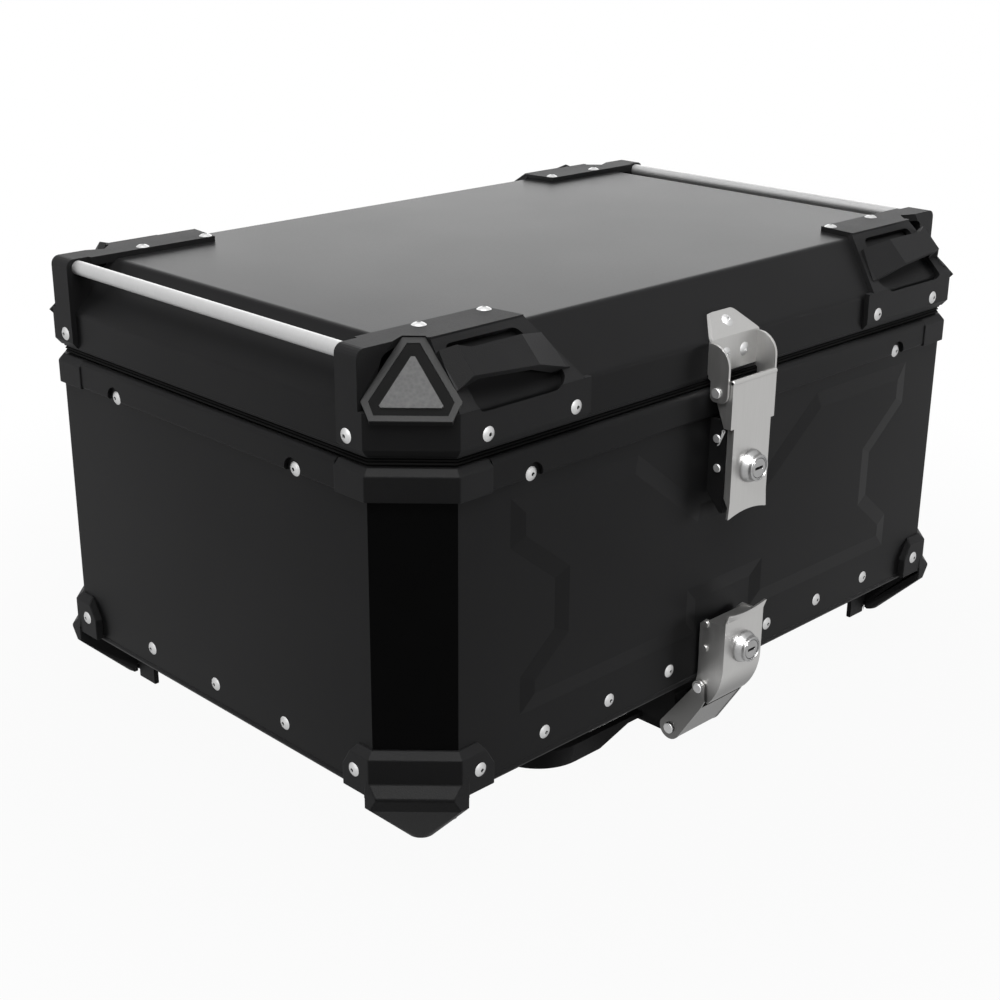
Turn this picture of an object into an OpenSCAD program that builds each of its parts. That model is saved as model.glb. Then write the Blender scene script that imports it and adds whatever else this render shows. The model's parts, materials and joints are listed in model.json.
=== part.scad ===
// Motorcycle top case with a hinged lid, two key-locked latches and a quick-release carrier.
// Millimetres. X runs along the long side, the latches face -Y, +Z is up.
// The underside of the carrier lies on Z = 0.

/* [Part] */
// Sub-part to show

/* [Case] */
// Width across the side walls
case_w = 600; // [560:2:660]
// Depth across the front and rear walls
case_d = 411; // [390:1:450]
// Leg of the cut at each upright corner
corner_cut = 38; // [34:1:42]
// Thickness of the aluminium sheet
sheet = 2; // [1.6:0.1:2.4]
// Height of the bottom edge of the walls
wall_z0 = 59; // [58:0.5:60]
// Height of the top edge of the walls
wall_z1 = 277.5; // [270:0.5:290]
// Height that the front panel is pressed out
press_h = 1.6; // [1:0.1:3]
// Width of the sloping border of the pressed field
press_border = 12; // [8:1:16]
// Height of the upstand of the bottom pan
pan_upstand = 30; // [24:1:40]

/* [Rim] */
// How far the rim rails stand proud of the walls
rail_proud = 2.4; // [1.5:0.1:3]
// How far the rim corner pieces stand proud of the walls
rim_corner_proud = 3.4; // [3:0.1:5]
// Height of the rim rails
rail_h = 20.5; // [16:0.5:24]
// Radius of the half-moon recess round each rim screw
recess_r = 8; // [6:0.5:9]

/* [Lid] */
// Height of the dark joint between rim and lid
joint_h = 7.5; // [6:0.5:10]
// Height of the upright lid skirt
skirt_h = 25.5; // [22:0.5:30]
// Rise and run of the sloping lid sides
slope_run = 34.5; // [32:0.5:38]
// Outer radius of the folds of the lid
fold_r = 6; // [4:0.5:8]

/* [Lid guards] */
// Thickness of the guards over the lid
guard_t = 4; // [3:0.25:5]
// Length of a guard along the front edge
guard_front = 148; // [140:1:156]
// Length of a guard along the side edge
guard_side = 60; // [56:1:66]
// Height of the tie-down bar over the lid
bar_h = 15.5; // [13:0.5:17]
// Thickness of the tie-down bar
bar_t = 5; // [4:0.5:6]
// Diameter of the side rods
rod_d = 10; // [8:0.5:12]

/* [Feet] */
// Thickness of the foot collar on the walls
foot_t = 6; // [4:0.5:8]
// Height of the foot collar
foot_h = 31.5; // [29:0.5:36]
// How far the toe stands proud of the corner cut
toe_proud = 12; // [9:0.5:14]
// Height of the toe tip
toe_z = 15; // [12:1:24]

/* [Latches] */
// Distance of the latches from the middle of the front
latch_x = -5; // [-12:0.5:12]
// Width of the upper end of the upper hasp
hasp_w = 48; // [44:1:52]
// Width of the keepers
keeper_w = 41; // [38:0.5:42]
// Thickness of the latch steel
latch_t = 1.8; // [1.5:0.1:2]
// Diameter of the lock faces
lock_d = 19; // [18:0.5:20]
// Length of the lock barrels in front of the hasp
lock_len = 8.5; // [7.5:0.5:12]
// Radial running clearance of pins and lock plugs
running = 0.05; // [0.03:0.01:0.08]

/* [Hinge] */
// Distance of each hinge from the middle of the rear
hinge_x = 110; // [60:5:115]
// Length of a hinge
hinge_len = 60; // [48:2:80]

/* [Carrier] */
// Thickness of the carrier plate
carrier_t = 14; // [12:0.5:16]
// Spacing of the rack slots across
rack_x = 150; // [130:5:160]
// Spacing of the rack slots fore and aft
rack_y = 110; // [90:5:130]
// Width of a rack slot
slot_w = 8.5; // [6.5:0.5:10.5]
// Length of a rack slot
slot_len = 30; // [20:1:36]

/* [Fasteners] */
// Diameter of the rivet and screw heads
head_d = 9.5; // [8:0.5:10]
// Height of the rivet and screw heads
head_h = 1.8; // [1.4:0.1:2.4]
// Diameter of the shanks
shank_d = 4.8; // [4:0.1:5]

/* [Hidden] */
$fn = 48;

eps = 0.01;
diag = sqrt(2);
half_w = case_w / 2;
half_d = case_d / 2;

// Heights
rivet_z = wall_z0 + 17;
rim_z1 = wall_z1 + 2;
rail_z0 = rim_z1 - rail_h;
rim_screw_z = rail_z0 + 2;
lid_z0 = rim_z1 + joint_h;
crease_z = lid_z0 + skirt_h;
lid_z1 = crease_z + slope_run;
guard_screw_z = lid_z0 + 10;
strip_z1 = lid_z1 + guard_t;

// Fastener rows
head_r = head_d / 2;
shank_r = shank_d / 2;
hole_r = shank_r + 0.1;
dimple_r = 1.3;
dimple_h = 1;
front_rivet_xs = [for (s = [-1, 1], i = [0:2]) s * (57 + 63.5 * i)];
side_rivet_ys = [-77.8, 0, 77.8];
foot_rivet_x = half_w - 51.4;
foot_rivet_y = half_d - 49.6;
rim_screw_x = half_w - 99.5;
rim_screw_y = half_d - 105.8;
guard_screw_xs = [half_w - 59, half_w - 134.6];
guard_screw_y = half_d - 51;
top_screw_xs = [half_w - 60, half_w - 114.5];
top_screw_y = half_d - 57.5;

// Rods and guards
rod_x = half_w - 5.2;
rod_z = lid_z1 - 2.4;
rod_half = half_d - 47;
post_y = half_d - guard_side;
post_w = 20;
post_round = 6;
guard_x = half_w - guard_front;
facet_out = guard_t + 3;
facet_gap = guard_t + 2;
facet_pos = [
    -half_w + corner_cut / 2 - facet_out / diag, -half_d + corner_cut / 2 - facet_out / diag, crease_z - 2.5];
pod = [[-24, 0], [24, 0], [29.5, 12.8], [6.8, 55.5], [-6.8, 55.5], [-29.5, 12.8]];

// Feet
collar_x = half_w - 64;
collar_y = half_d - 61;
collar_z0 = wall_z0 + 2;
collar_z1 = collar_z0 + foot_h;

// Latches
upper_pin = [-half_d - 8.7, wall_z1 + 0.8];
hasp_y = -half_d - 20.5;
hasp_z0 = wall_z1 - 89;
hasp_step_z = wall_z1 - 23.5;
hasp_z1 = wall_z1 + 10.5;
upper_lock_z = wall_z1 - 54;
keeper_y = -half_d - 14.5;
lower_pin = [-half_d - 5, wall_z0 - 4.5];
cover_y = -half_d - 24.5;
cover_z1 = wall_z0 + 58.5;
cover_bend_z = wall_z0 + 17;
cover_bend_r = 50.3;
lower_lock_z = wall_z0 + 28;
link_pivot = [-half_d + 19.5, 12.6];
link_half = 24.2;
scoop = 3;
scoop_r = 70;
pin_r = 2.5;
link_pin_r = 3;
plug_r = 7;
cam_y = -half_d - 8;

// Hinge
hinge_axis = [half_d + 6.7, rim_z1 + 3.8];
knuckle_r = 4;
knuckle_gap = 0.4;

// Carrier
lobe_x = 100;
lobe_y = 118;
lobe_r = 39;
post_r = 24;
bridge_w = 6;
bridge_z0 = 9.5;
block_half = link_half - 2.7;
hook_z0 = 36;
hook_t = 7;
pad_t = 5;

// Plan and profile helpers

// Plan of the case walls, moved out by o
function plan_points(o = 0) =
    let (hx = half_w + o, hy = half_d + o, c = corner_cut + o * (2 - diag))
    [[-hx + c, -hy], [hx - c, -hy], [hx, -hy + c], [hx, hy - c],
     [hx - c, hy], [-hx + c, hy], [-hx, hy - c], [-hx, -hy + c]];

// Section of the folded lid with the skin moved in by i
function lid_section(half, i, z0) =
    let (k = fold_r * tan(22.5), r = fold_r - i)
    concat(
        [[-half + i, z0]],
        arc([-half + fold_r, crease_z - k], r, 180, 135, 4),
        arc([-half + slope_run + k, lid_z1 - fold_r], r, 135, 90, 4),
        arc([half - slope_run - k, lid_z1 - fold_r], r, 90, 45, 4),
        arc([half - fold_r, crease_z - k], r, 45, 0, 4),
        [[half - i, z0]]);

// Unit vector from p to q
function toward(p, q) = (q - p) / norm(q - p);

// Outline moved in by d along both edges at every corner
function inset(p, d) =
    let (n = len(p))
    [for (i = [0:n - 1])
        let (a = toward(p[(i + n - 1) % n], p[i]), b = toward(p[i], p[(i + 1) % n]),
             na = [-a[1], a[0]], nb = [-b[1], b[0]])
        p[i] + d * (na + nb) / (1 + na * nb)];

// Points on an arc
function arc(c, r, a0, a1, n = 12) =
    [for (i = [0:n]) let (a = a0 + (a1 - a0) * i / n) c + r * [cos(a), sin(a)]];

// Outline with its corners eased over a length d on both sides
function eased(p, d, n = 4) =
    let (m = len(p))
    [for (i = [0:m - 1])
        let (a = p[i] + d * toward(p[i], p[(i + m - 1) % m]), b = p[i] + d * toward(p[i], p[(i + 1) % m]))
        for (k = [0:n])
            let (t = k / n)
            (1 - t) * (1 - t) * a + 2 * t * (1 - t) * p[i] + t * t * b];

module plan(o = 0) {
    polygon(plan_points(o));
}

module slab(z0, z1) {
    translate([0, 0, z0])
        linear_extrude(z1 - z0)
            children();
}

module ring(z0, z1, outer, inner) {
    slab(z0, z1)
        difference() {
            plan(outer);
            plan(inner);
        }
}

// Solid with a sloping border all round a flat outline, sunk below Z = 0 by sink
// cells are the convex faces that fill the outline
module raised_field(outline, cells, h, border, sink) {
    n = len(outline);
    top = inset(outline, border);
    polyhedron(
        points = concat(
            [for (p = outline) [p[0], p[1], -sink]],
            [for (p = outline) [p[0], p[1], 0]],
            [for (p = top) [p[0], p[1], h]]),
        faces = concat(
            cells,
            [for (c = cells) [for (i = [len(c) - 1:-1:0]) 2 * n + c[i]]],
            [for (k = [0, n], i = [0:n - 1]) let (j = (i + 1) % n) [k + i, k + n + i, k + n + j, k + j]]));
}

// Section in Y and Z, run along X
module along_x(x0, x1) {
    translate([x0, 0, 0])
        rotate([90, 0, 90])
            linear_extrude(x1 - x0)
                children();
}

// Section in X and Z, run along Y
module along_y(y0, y1) {
    translate([0, y1, 0])
        rotate([90, 0, 0])
            linear_extrude(y1 - y0)
                children();
}

module rod_along_x(x0, x1, yz, r) {
    translate([x0, yz[0], yz[1]])
        rotate([0, 90, 0])
            cylinder(r = r, h = x1 - x0);
}

module rod_along_y(y0, y1, xz, r) {
    translate([xz[0], y0, xz[1]])
        rotate([-90, 0, 0])
            cylinder(r = r, h = y1 - y0);
}

// Front-left corner shape moved to another corner
module corner(right, rear) {
    mirror([right, 0, 0])
        mirror([0, rear, 0])
            children();
}

module four_corners() {
    for (right = [0, 1], rear = [0, 1])
        corner(right, rear)
            children();
}

// Local Z points out of the wall
module on_front(x, z, proud = 0) {
    translate([x, -half_d - proud, z])
        rotate([90, 0, 0])
            children();
}

module on_left(y, z, proud = 0) {
    translate([-half_w - proud, y, z])
        rotate([0, -90, 0])
            children();
}

module on_front_and_rear(xs, z, proud = 0) {
    for (rear = [0, 1], x = xs)
        mirror([0, rear, 0])
            on_front(x, z, proud)
                children();
}

module on_both_sides(ys, z, proud = 0) {
    for (right = [0, 1], y = ys)
        mirror([right, 0, 0])
            on_left(y, z, proud)
                children();
}

// Local Y runs up the front slope of the lid, local Z points out of it
module on_front_slope() {
    translate([0, -half_d, crease_z])
        rotate([45, 0, 0])
            children();
}

// Local Y runs up the reflector facet, local Z points out of it
module on_facet() {
    translate(facet_pos)
        rotate([45, 0, -45])
            children();
}

// Button head on Z = 0 with a shank below and a dimple on top
module button(shank) {
    ball_r = (head_r * head_r + head_h * head_h) / (2 * head_h);
    difference() {
        union() {
            intersection() {
                translate([0, 0, head_h - ball_r])
                    sphere(ball_r);
                cylinder(r = head_r + 1, h = head_h);
            }
            if (shank > 0)
                translate([0, 0, -shank])
                    cylinder(r = shank_r, h = shank + head_h / 2);
        }
        translate([0, 0, head_h - dimple_h])
            cylinder(r = dimple_r, h = 2 * dimple_h);
    }
}

module shank_hole(depth = 12) {
    translate([0, 0, -depth])
        cylinder(r = hole_r, h = depth + 8);
}

// Case walls

module wall(k) {
    outer = plan_points(0);
    inner = plan_points(-sheet);
    next = (k + 1) % 8;
    slab(wall_z0, wall_z1)
        polygon([outer[k], outer[next], inner[next], inner[k]]);
}

module wall_holes() {
    on_front_and_rear(front_rivet_xs, rivet_z)
        shank_hole();
    on_front_and_rear([-foot_rivet_x, foot_rivet_x], rivet_z)
        shank_hole();
    on_front_and_rear([-rim_screw_x, rim_screw_x], rim_screw_z)
        shank_hole();
    on_both_sides(side_rivet_ys, rivet_z)
        shank_hole();
    on_both_sides([-foot_rivet_y, foot_rivet_y], rivet_z)
        shank_hole();
    on_both_sides([-rim_screw_y, rim_screw_y], rim_screw_z)
        shank_hole();
}

// Right half of the pressed field, from the lower notch round to the upper notch
press_half = [
    [31, wall_z0 + 64], [31, wall_z0 + 38], [half_w - 92, wall_z0 + 38], [half_w - 92, wall_z0 + 65],
    [half_w - 123, wall_z0 + 90], [half_w - 123, wall_z0 + 125], [half_w - 82, wall_z0 + 157],
    [half_w - 82, wall_z0 + 190], [100, wall_z0 + 190], [31, wall_z0 + 137]];
press_last = 2 * len(press_half) - 1;
press_outline = concat(
    press_half,
    [for (i = [len(press_half) - 1:-1:0]) [-press_half[i][0], press_half[i][1]]]);
press_half_cells = [[0, 1, 2, 3, 4], [0, 4, 5, 9], [5, 6, 7, 8, 9]];
press_cells = concat(
    press_half_cells,
    [for (c = press_half_cells) [for (i = [len(c) - 1:-1:0]) press_last - c[i]]],
    [[press_last, 0, 9, 10]]);

module front_panel() {
    color("#2a2a2a")
        difference() {
            union() {
                wall(0);
                on_front(0, 0)
                    raised_field(press_outline, press_cells, press_h, press_border, sheet / 2);
            }
            on_front(0, 0, -sheet)
                raised_field(press_outline, press_cells, press_h, press_border, sheet);
            wall_holes();
        }
}

module rear_panel() {
    color("#2a2a2a")
        difference() {
            wall(4);
            wall_holes();
        }
}

module left_panel() {
    color("#2e2e2e")
        difference() {
            wall(6);
            wall_holes();
        }
}

module right_panel() {
    color("#2e2e2e")
        difference() {
            wall(2);
            wall_holes();
        }
}

module corner_panels() {
    color("#242424")
        for (k = [1, 3, 5, 7])
            wall(k);
}

module bead() {
    along_y(-half_d + 70, half_d - 70)
        polygon([[-12, 0], [-7, 4], [7, 4], [12, 0]]);
}

module bottom_pan() {
    color("#8d8f91")
        difference() {
            union() {
                slab(wall_z0, wall_z0 + sheet)
                    plan(-sheet);
                ring(wall_z0, wall_z0 + pan_upstand, -sheet, -sheet - 1.5);
                for (x = [-200:80:200])
                    translate([x, 0, wall_z0 + sheet - eps])
                        bead();
            }
            for (x = [-200:80:200])
                translate([x, 0, wall_z0 - eps])
                    bead();
            wall_holes();
        }
}

// Rim

rail_round = 4;
rail_section = concat(
    [[0, rail_z0], [1.2, rail_z0], [rail_proud, rail_z0 + 1.5]],
    arc([rail_proud - rail_round, rim_z1 - rail_round], rail_round, 0, 90, 6),
    [[-8, rim_z1], [-8, wall_z1], [-4, wall_z1], [-4, rail_z0 - 5],
     [-sheet, rail_z0 - 5], [-sheet, wall_z1], [0, wall_z1]]);

module rim_recesses() {
    on_front_and_rear([-rim_screw_x, rim_screw_x], rim_screw_z)
        cylinder(r = recess_r, h = 8);
    on_both_sides([-rim_screw_y, rim_screw_y], rim_screw_z)
        cylinder(r = recess_r, h = 8);
    wall_holes();
}

module front_rail_shape() {
    difference() {
        along_x(-collar_x, collar_x)
            polygon([for (p = rail_section) [-half_d - p[0], p[1]]]);
        rim_recesses();
    }
}

module side_rail_shape() {
    difference() {
        along_y(-collar_y + 3.5, collar_y - 3.5)
            polygon([for (p = rail_section) [-half_w - p[0], p[1]]]);
        rim_recesses();
    }
}

module front_rail() {
    color("#2c2c2c")
        front_rail_shape();
}

module rear_rail() {
    color("#2c2c2c")
        mirror([0, 1, 0])
            front_rail_shape();
}

module left_rail() {
    color("#2c2c2c")
        side_rail_shape();
}

module right_rail() {
    color("#2c2c2c")
        mirror([1, 0, 0])
            side_rail_shape();
}

module rim_corner_shape() {
    intersection() {
        union() {
            difference() {
                hull() {
                    slab(rail_z0 - 0.5, rim_z1 - 4.5)
                        plan(rim_corner_proud);
                    slab(rim_z1 - 1, rim_z1)
                        plan(-0.5);
                }
                slab(rail_z0 - 2, wall_z1)
                    plan(0);
                slab(rail_z0 - 2, rim_z1 + 1)
                    plan(-8);
            }
            ring(rail_z0 - 5, wall_z1 + eps, -sheet, -4);
        }
        translate([-half_w - 10, -half_d - 10, 0])
            cube([half_w - collar_x + 10, half_d - collar_y + 13.5, lid_z1]);
    }
}

module rim_corners() {
    color("#232323")
        four_corners()
            rim_corner_shape();
}

// Feet

// Outline of the toe with the corner cut moved out by proud
function toe_points(side, proud) =
    let (x = half_w + side, y = half_d + side, c = half_w + half_d - corner_cut + proud * diag)
    [[-x, -half_d + 39], [-x, x - c], [y - c, -y], [-half_w + 41, -y], [-half_w + 41, -half_d + 39]];

module foot_shape() {
    tip = [-half_w + 41.5, -half_d + 39.5];
    difference() {
        union() {
            intersection() {
                hull() {
                    slab(collar_z0, collar_z1 - 4.5)
                        plan(foot_t);
                    slab(collar_z1 - 1, collar_z1)
                        plan(0.8);
                }
                translate([-half_w - 20, -half_d - 20, 0])
                    cube([half_w - collar_x + 20, half_d - collar_y + 20, case_w]);
            }
            hull() {
                slab(wall_z0 + 11, wall_z0 + 12)
                    polygon(toe_points(foot_t, foot_t));
                slab(wall_z0 + 3, wall_z0 + 5)
                    polygon(toe_points(foot_t + 1, toe_proud));
                slab(wall_z0 - 6, wall_z0 - 5)
                    polygon(toe_points(foot_t + 1, toe_proud - 4));
                translate([tip[0], tip[1], toe_z])
                    cylinder(r1 = 9, r2 = 11, h = 4);
            }
            translate([-half_w + 35, -half_d + 39, toe_z - 2])
                cube([4, 32, wall_z0 - toe_z + 2]);
            translate([-half_w + 41, -half_d + 36.5, toe_z - 2])
                cube([30, 4, wall_z0 - toe_z + 2]);
            translate([-half_w + 22, -half_d + 22, wall_z0 - 4])
                cube([49, 49, 4]);
        }
        slab(wall_z0, collar_z1 + 5)
            plan(0);
        translate([-half_w + 34, -half_d + 42, 0])
            cube([6, 8, toe_z + 8]);
        translate([-half_w + 44, -half_d + 35, 0])
            cube([8, 6, toe_z + 8]);
        along_y(-half_d - 20, -half_d)
            polygon([[-collar_x - 10, collar_z1 + eps], [-collar_x + eps, collar_z1 + eps],
                     [-collar_x + eps, collar_z1 - 16]]);
        along_x(-half_w - 20, -half_w)
            polygon([[-collar_y - 10, collar_z1 + eps], [-collar_y + eps, collar_z1 + eps],
                     [-collar_y + eps, collar_z1 - 16]]);
        wall_holes();
    }
}

module foot_front_left() {
    color("#1c1c1c")
        foot_shape();
}

module foot_front_right() {
    color("#1c1c1c")
        corner(1, 0)
            foot_shape();
}

module foot_rear_left() {
    color("#1c1c1c")
        corner(0, 1)
            foot_shape();
}

module foot_rear_right() {
    color("#1c1c1c")
        corner(1, 1)
            foot_shape();
}

// Fasteners of the case

module panel_rivets() {
    color("#c9c9c9") {
        on_front_and_rear(front_rivet_xs, rivet_z)
            button(sheet + 3);
        on_both_sides(side_rivet_ys, rivet_z)
            button(sheet + 3);
    }
}

module foot_rivets() {
    color("#c9c9c9") {
        on_front_and_rear([-foot_rivet_x, foot_rivet_x], rivet_z, foot_t)
            button(foot_t + sheet + 3);
        on_both_sides([-foot_rivet_y, foot_rivet_y], rivet_z, foot_t)
            button(foot_t + sheet + 3);
    }
}

module rim_screws() {
    color("#b8b8b8") {
        on_front_and_rear([-rim_screw_x, rim_screw_x], rim_screw_z)
            button(sheet + 3.5);
        on_both_sides([-rim_screw_y, rim_screw_y], rim_screw_z)
            button(sheet + 3.5);
    }
}

// Keepers on the front wall

// Channel with inward lips, open to the front between the lips
module keeper_section(w) {
    depth = -half_d - keeper_y;
    difference() {
        translate([latch_x - w, keeper_y])
            square([2 * w, depth]);
        translate([latch_x - w + 3, keeper_y + 3])
            square([2 * w - 6, depth - 5]);
        translate([latch_x - 6.5, keeper_y - 1])
            square([13, 6]);
    }
}

module upper_keeper() {
    color("#161616")
        difference() {
            slab(hasp_z0 + 3, rail_z0 - 1)
                keeper_section(keeper_w / 2);
            along_x(latch_x - 30, latch_x + 30)
                polygon([[keeper_y + 2, hasp_z0 + 2], [-half_d + 1, hasp_z0 + 2], [-half_d + 1, hasp_z0 + 17]]);
        }
}

module lower_keeper() {
    color("#161616")
        slab(wall_z0 + 11, cover_z1 - 17)
            keeper_section(cover_half - latch_t - 1);
}

module keeper_pin_pair(yz) {
    rod_along_x(latch_x - keeper_w / 2 - 1.5, latch_x - keeper_w / 2, yz, 3);
    rod_along_x(latch_x + keeper_w / 2, latch_x + keeper_w / 2 + 1.5, yz, 3);
}

module keeper_pins() {
    color("#9a9a9a") {
        keeper_pin_pair([-half_d - 7, wall_z1 - 33]);
        keeper_pin_pair([-half_d - 8.5, wall_z1 - 54]);
    }
}

// Rear hinge

hinge_third = (hinge_len - 2 * knuckle_gap) / 3;

module knuckle(x0, x1) {
    rod_along_x(x0, x1, hinge_axis, knuckle_r);
}

module hinge_body_leaf() {
    y0 = half_d + rail_proud;
    difference() {
        union() {
            translate([-hinge_len / 2, y0, rail_z0 + 2])
                cube([hinge_len, 1.5, rim_z1 - rail_z0 - 8]);
            for (s = [-1, 1]) {
                x0 = s * (hinge_third + knuckle_gap) - hinge_third / 2;
                knuckle(x0, x0 + hinge_third);
                along_x(x0, x0 + hinge_third)
                    polygon([[y0, rim_z1 - 6.2], [y0 + 1.5, rim_z1 - 6.2], [hinge_axis[0] + 2, hinge_axis[1] - 3],
                             [hinge_axis[0], hinge_axis[1]], [y0, hinge_axis[1] - 2]]);
            }
        }
        rod_along_x(-hinge_len, hinge_len, hinge_axis, pin_r + running);
    }
}

module hinge_lid_leaf() {
    difference() {
        union() {
            translate([-hinge_len / 2, half_d, lid_z0 + 3])
                cube([hinge_len, 2, skirt_h - 5]);
            knuckle(-hinge_third / 2, hinge_third / 2);
            along_x(-hinge_third / 2, hinge_third / 2)
                polygon([[half_d, lid_z0 + 10], [half_d + 2, lid_z0 + 10], [hinge_axis[0] + 2, hinge_axis[1] + 3],
                         [hinge_axis[0], hinge_axis[1]], [half_d, lid_z0 + 1]]);
        }
        rod_along_x(-hinge_len, hinge_len, hinge_axis, pin_r + running);
    }
}

module both_hinges() {
    for (s = [-1, 1])
        translate([s * hinge_x, 0, 0])
            children();
}

module hinge_body_leaves() {
    color("#b4b4b4")
        both_hinges()
            hinge_body_leaf();
}

module hinge_lid_leaves() {
    color("#b4b4b4")
        both_hinges()
            hinge_lid_leaf();
}

module hinge_pins() {
    color("#cfcfcf")
        both_hinges() {
            rod_along_x(-hinge_len / 2 - 1, hinge_len / 2 + 1, hinge_axis, pin_r);
            rod_along_x(-hinge_len / 2 - 1.5, -hinge_len / 2, hinge_axis, pin_r + 1);
            rod_along_x(hinge_len / 2, hinge_len / 2 + 1.5, hinge_axis, pin_r + 1);
        }
}

// Carrier under the case

module rack_slot() {
    for (s = [-1, 1])
        translate([s * (slot_len - slot_w) / 2, 0, -1])
            cylinder(d = slot_w, h = carrier_t + 2);
    translate([-(slot_len - slot_w) / 2, -slot_w / 2, -1])
        cube([slot_len - slot_w, slot_w, carrier_t + 2]);
}

// Bar between the two front lobes, raised off the rack in its middle
module bridge() {
    along_y(-lobe_y - lobe_r, -lobe_y - lobe_r + bridge_w)
        polygon([[-lobe_x, 0], [-lobe_x + 27, 0], [-lobe_x + 58, bridge_z0], [lobe_x - 58, bridge_z0],
                 [lobe_x - 27, 0], [lobe_x, 0], [lobe_x, carrier_t], [-lobe_x, carrier_t]]);
}

// Block under the front of the case that carries the lower latch
module link_block() {
    along_x(latch_x - block_half, latch_x + block_half)
        polygon([[link_pivot[0], link_pivot[1] - 6.4], [-lobe_y, link_pivot[1] - 6.4], [-lobe_y, carrier_t],
                 [-lobe_y - 26, wall_z0 - 11], [link_pivot[0] + 6, wall_z0 - 11], [link_pivot[0] - 2, wall_z0 - 19],
                 [link_pivot[0] - 2, link_pivot[1]]]);
    rod_along_x(latch_x - block_half, latch_x + block_half, link_pivot, 6.4);
}

module carrier_plate() {
    color("#191919")
        difference() {
            union() {
                translate([-lobe_x, -lobe_y - 6, 0])
                    cube([2 * lobe_x, 2 * lobe_y + 12, carrier_t]);
                translate([-lobe_x - lobe_r, -lobe_y, 0])
                    cube([2 * (lobe_x + lobe_r), 2 * lobe_y, carrier_t]);
                for (x = [-lobe_x, lobe_x], y = [-lobe_y, lobe_y])
                    translate([x, y, 0])
                        cylinder(r = lobe_r, h = carrier_t);
                bridge();
                link_block();
            }
            for (x = [-rack_x / 2, rack_x / 2], y = [-rack_y / 2, rack_y / 2])
                translate([x, y, 0])
                    rack_slot();
            for (x = [-rack_x / 2, rack_x / 2], y = [-rack_y / 2, rack_y / 2])
                translate([x - slot_len / 2 - 5, y - 11, 6])
                    cube([slot_len + 10, 22, carrier_t]);
            rod_along_x(-half_w, half_w, link_pivot, link_pin_r + running);
        }
}

module carrier_posts() {
    color("#191919")
        for (x = [-lobe_x, lobe_x], y = [-lobe_y, lobe_y])
            translate([x, y, carrier_t])
                cylinder(r = post_r, h = wall_z0 - pad_t - carrier_t);
}

// Rear bracket whose tongue holds the back of the case
module carrier_hook() {
    color("#1b1b1b") {
        translate([-40, lobe_y - 16, carrier_t])
            cube([80, 22, hook_z0 - carrier_t + eps]);
        translate([-30, lobe_y - 6, hook_z0])
            cube([60, 46, hook_t]);
    }
}

module support_pads() {
    color("#101010")
        for (x = [-lobe_x, lobe_x], y = [-lobe_y, lobe_y])
            translate([x, y, wall_z0 - pad_t])
                cylinder(r = post_r - 2, h = pad_t);
}

// Channel under the pan that takes the rear tongue of the carrier
module rear_socket() {
    y0 = lobe_y + 20;
    color("#2a2a2a")
        along_x(-28, 28)
            polygon([[y0, wall_z0], [y0 + 28, wall_z0], [y0 + 28, 31], [y0 + 4, 31],
                     [y0 + 4, 34], [y0 + 24, 34], [y0 + 24, wall_z0 - 3], [y0, wall_z0 - 3]]);
}

module link_pin() {
    color("#c4c4c4") {
        rod_along_x(latch_x - link_half - 1, latch_x + link_half + 1, link_pivot, link_pin_r);
        rod_along_x(latch_x - link_half - 2, latch_x - link_half - 0.3, link_pivot, link_pin_r + 1.2);
        rod_along_x(latch_x + link_half + 0.3, latch_x + link_half + 2, link_pivot, link_pin_r + 1.2);
    }
}

// Lid

module lid_solid(i, z0) {
    difference() {
        intersection() {
            along_y(-half_d - 1, half_d + 1)
                polygon(lid_section(half_w, i, z0));
            along_x(-half_w - 1, half_w + 1)
                polygon(lid_section(half_d, i, z0));
            slab(z0, lid_z1 + 1)
                plan(-i);
        }
        four_corners()
            facet_cut(i);
    }
}

// Space in front of the reflector facet of the front left corner
module facet_cut(i) {
    on_facet()
        translate([-80, -60, -facet_gap - i])
            cube([160, 200, 60]);
}

// Space the lid takes up under the front left guard, with sharp folds
module lid_block() {
    difference() {
        intersection() {
            along_y(-half_d - 1, half_d + 1)
                polygon([[-half_w, 0], [-half_w, crease_z], [-half_w + slope_run, lid_z1],
                         [half_w - slope_run, lid_z1], [half_w, crease_z], [half_w, 0]]);
            along_x(-half_w - 1, half_w + 1)
                polygon([[-half_d, 0], [-half_d, crease_z], [-half_d + slope_run, lid_z1],
                         [half_d - slope_run, lid_z1], [half_d, crease_z], [half_d, 0]]);
            slab(0, lid_z1 + 1)
                plan(0);
        }
        facet_cut(0);
    }
}

module lid_shell() {
    color("#343434")
        difference() {
            lid_solid(0, lid_z0);
            lid_solid(sheet, lid_z0 - 1);
        }
}

module lid_rim() {
    color("#121212") {
        ring(lid_z0 - 2, lid_z0, -1.2, -10);
        ring(lid_z0 - eps, lid_z0 + 10, -sheet, -sheet - 1.5);
    }
}

module lid_seal() {
    color("#0c0c0c")
        ring(rim_z1 + 0.4, lid_z0 - 2, -1.8, -9);
}

// Lid guards

// Outlines on the front slope: distance from the side wall, then distance up from the crease
slab_outline = [[36, -1.6], [142, -1.6], [123, slope_run * diag + 1.6], [46, slope_run * diag + 1.6]];
slab_window = [[51, -3.6], [120, -3.6], [129.5, 5], [112.5, 43.5], [53, 43.5]];
bar_outline = [[41, 12], [50, 14.5], [98, 10.5], [135, 8], [126, 34], [105, 32.5], [60, 32.5], [44, 39]];

// Tie-down bar that stands off the slope on two sloping legs
module strap_bar() {
    intersection() {
        linear_extrude(bar_h)
            polygon(bar_outline);
        translate([0, 60, 0])
            rotate([90, 0, 0])
                linear_extrude(60)
                    polygon([[40, 0], [40, guard_t], [43, guard_t + 2], [51, bar_h], [102, bar_h],
                             [131, guard_t + 1.5], [140, guard_t], [140, 0], [124, 0], [98, bar_h - bar_t],
                             [57, bar_h - bar_t], [50, 0]]);
    }
}

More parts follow.
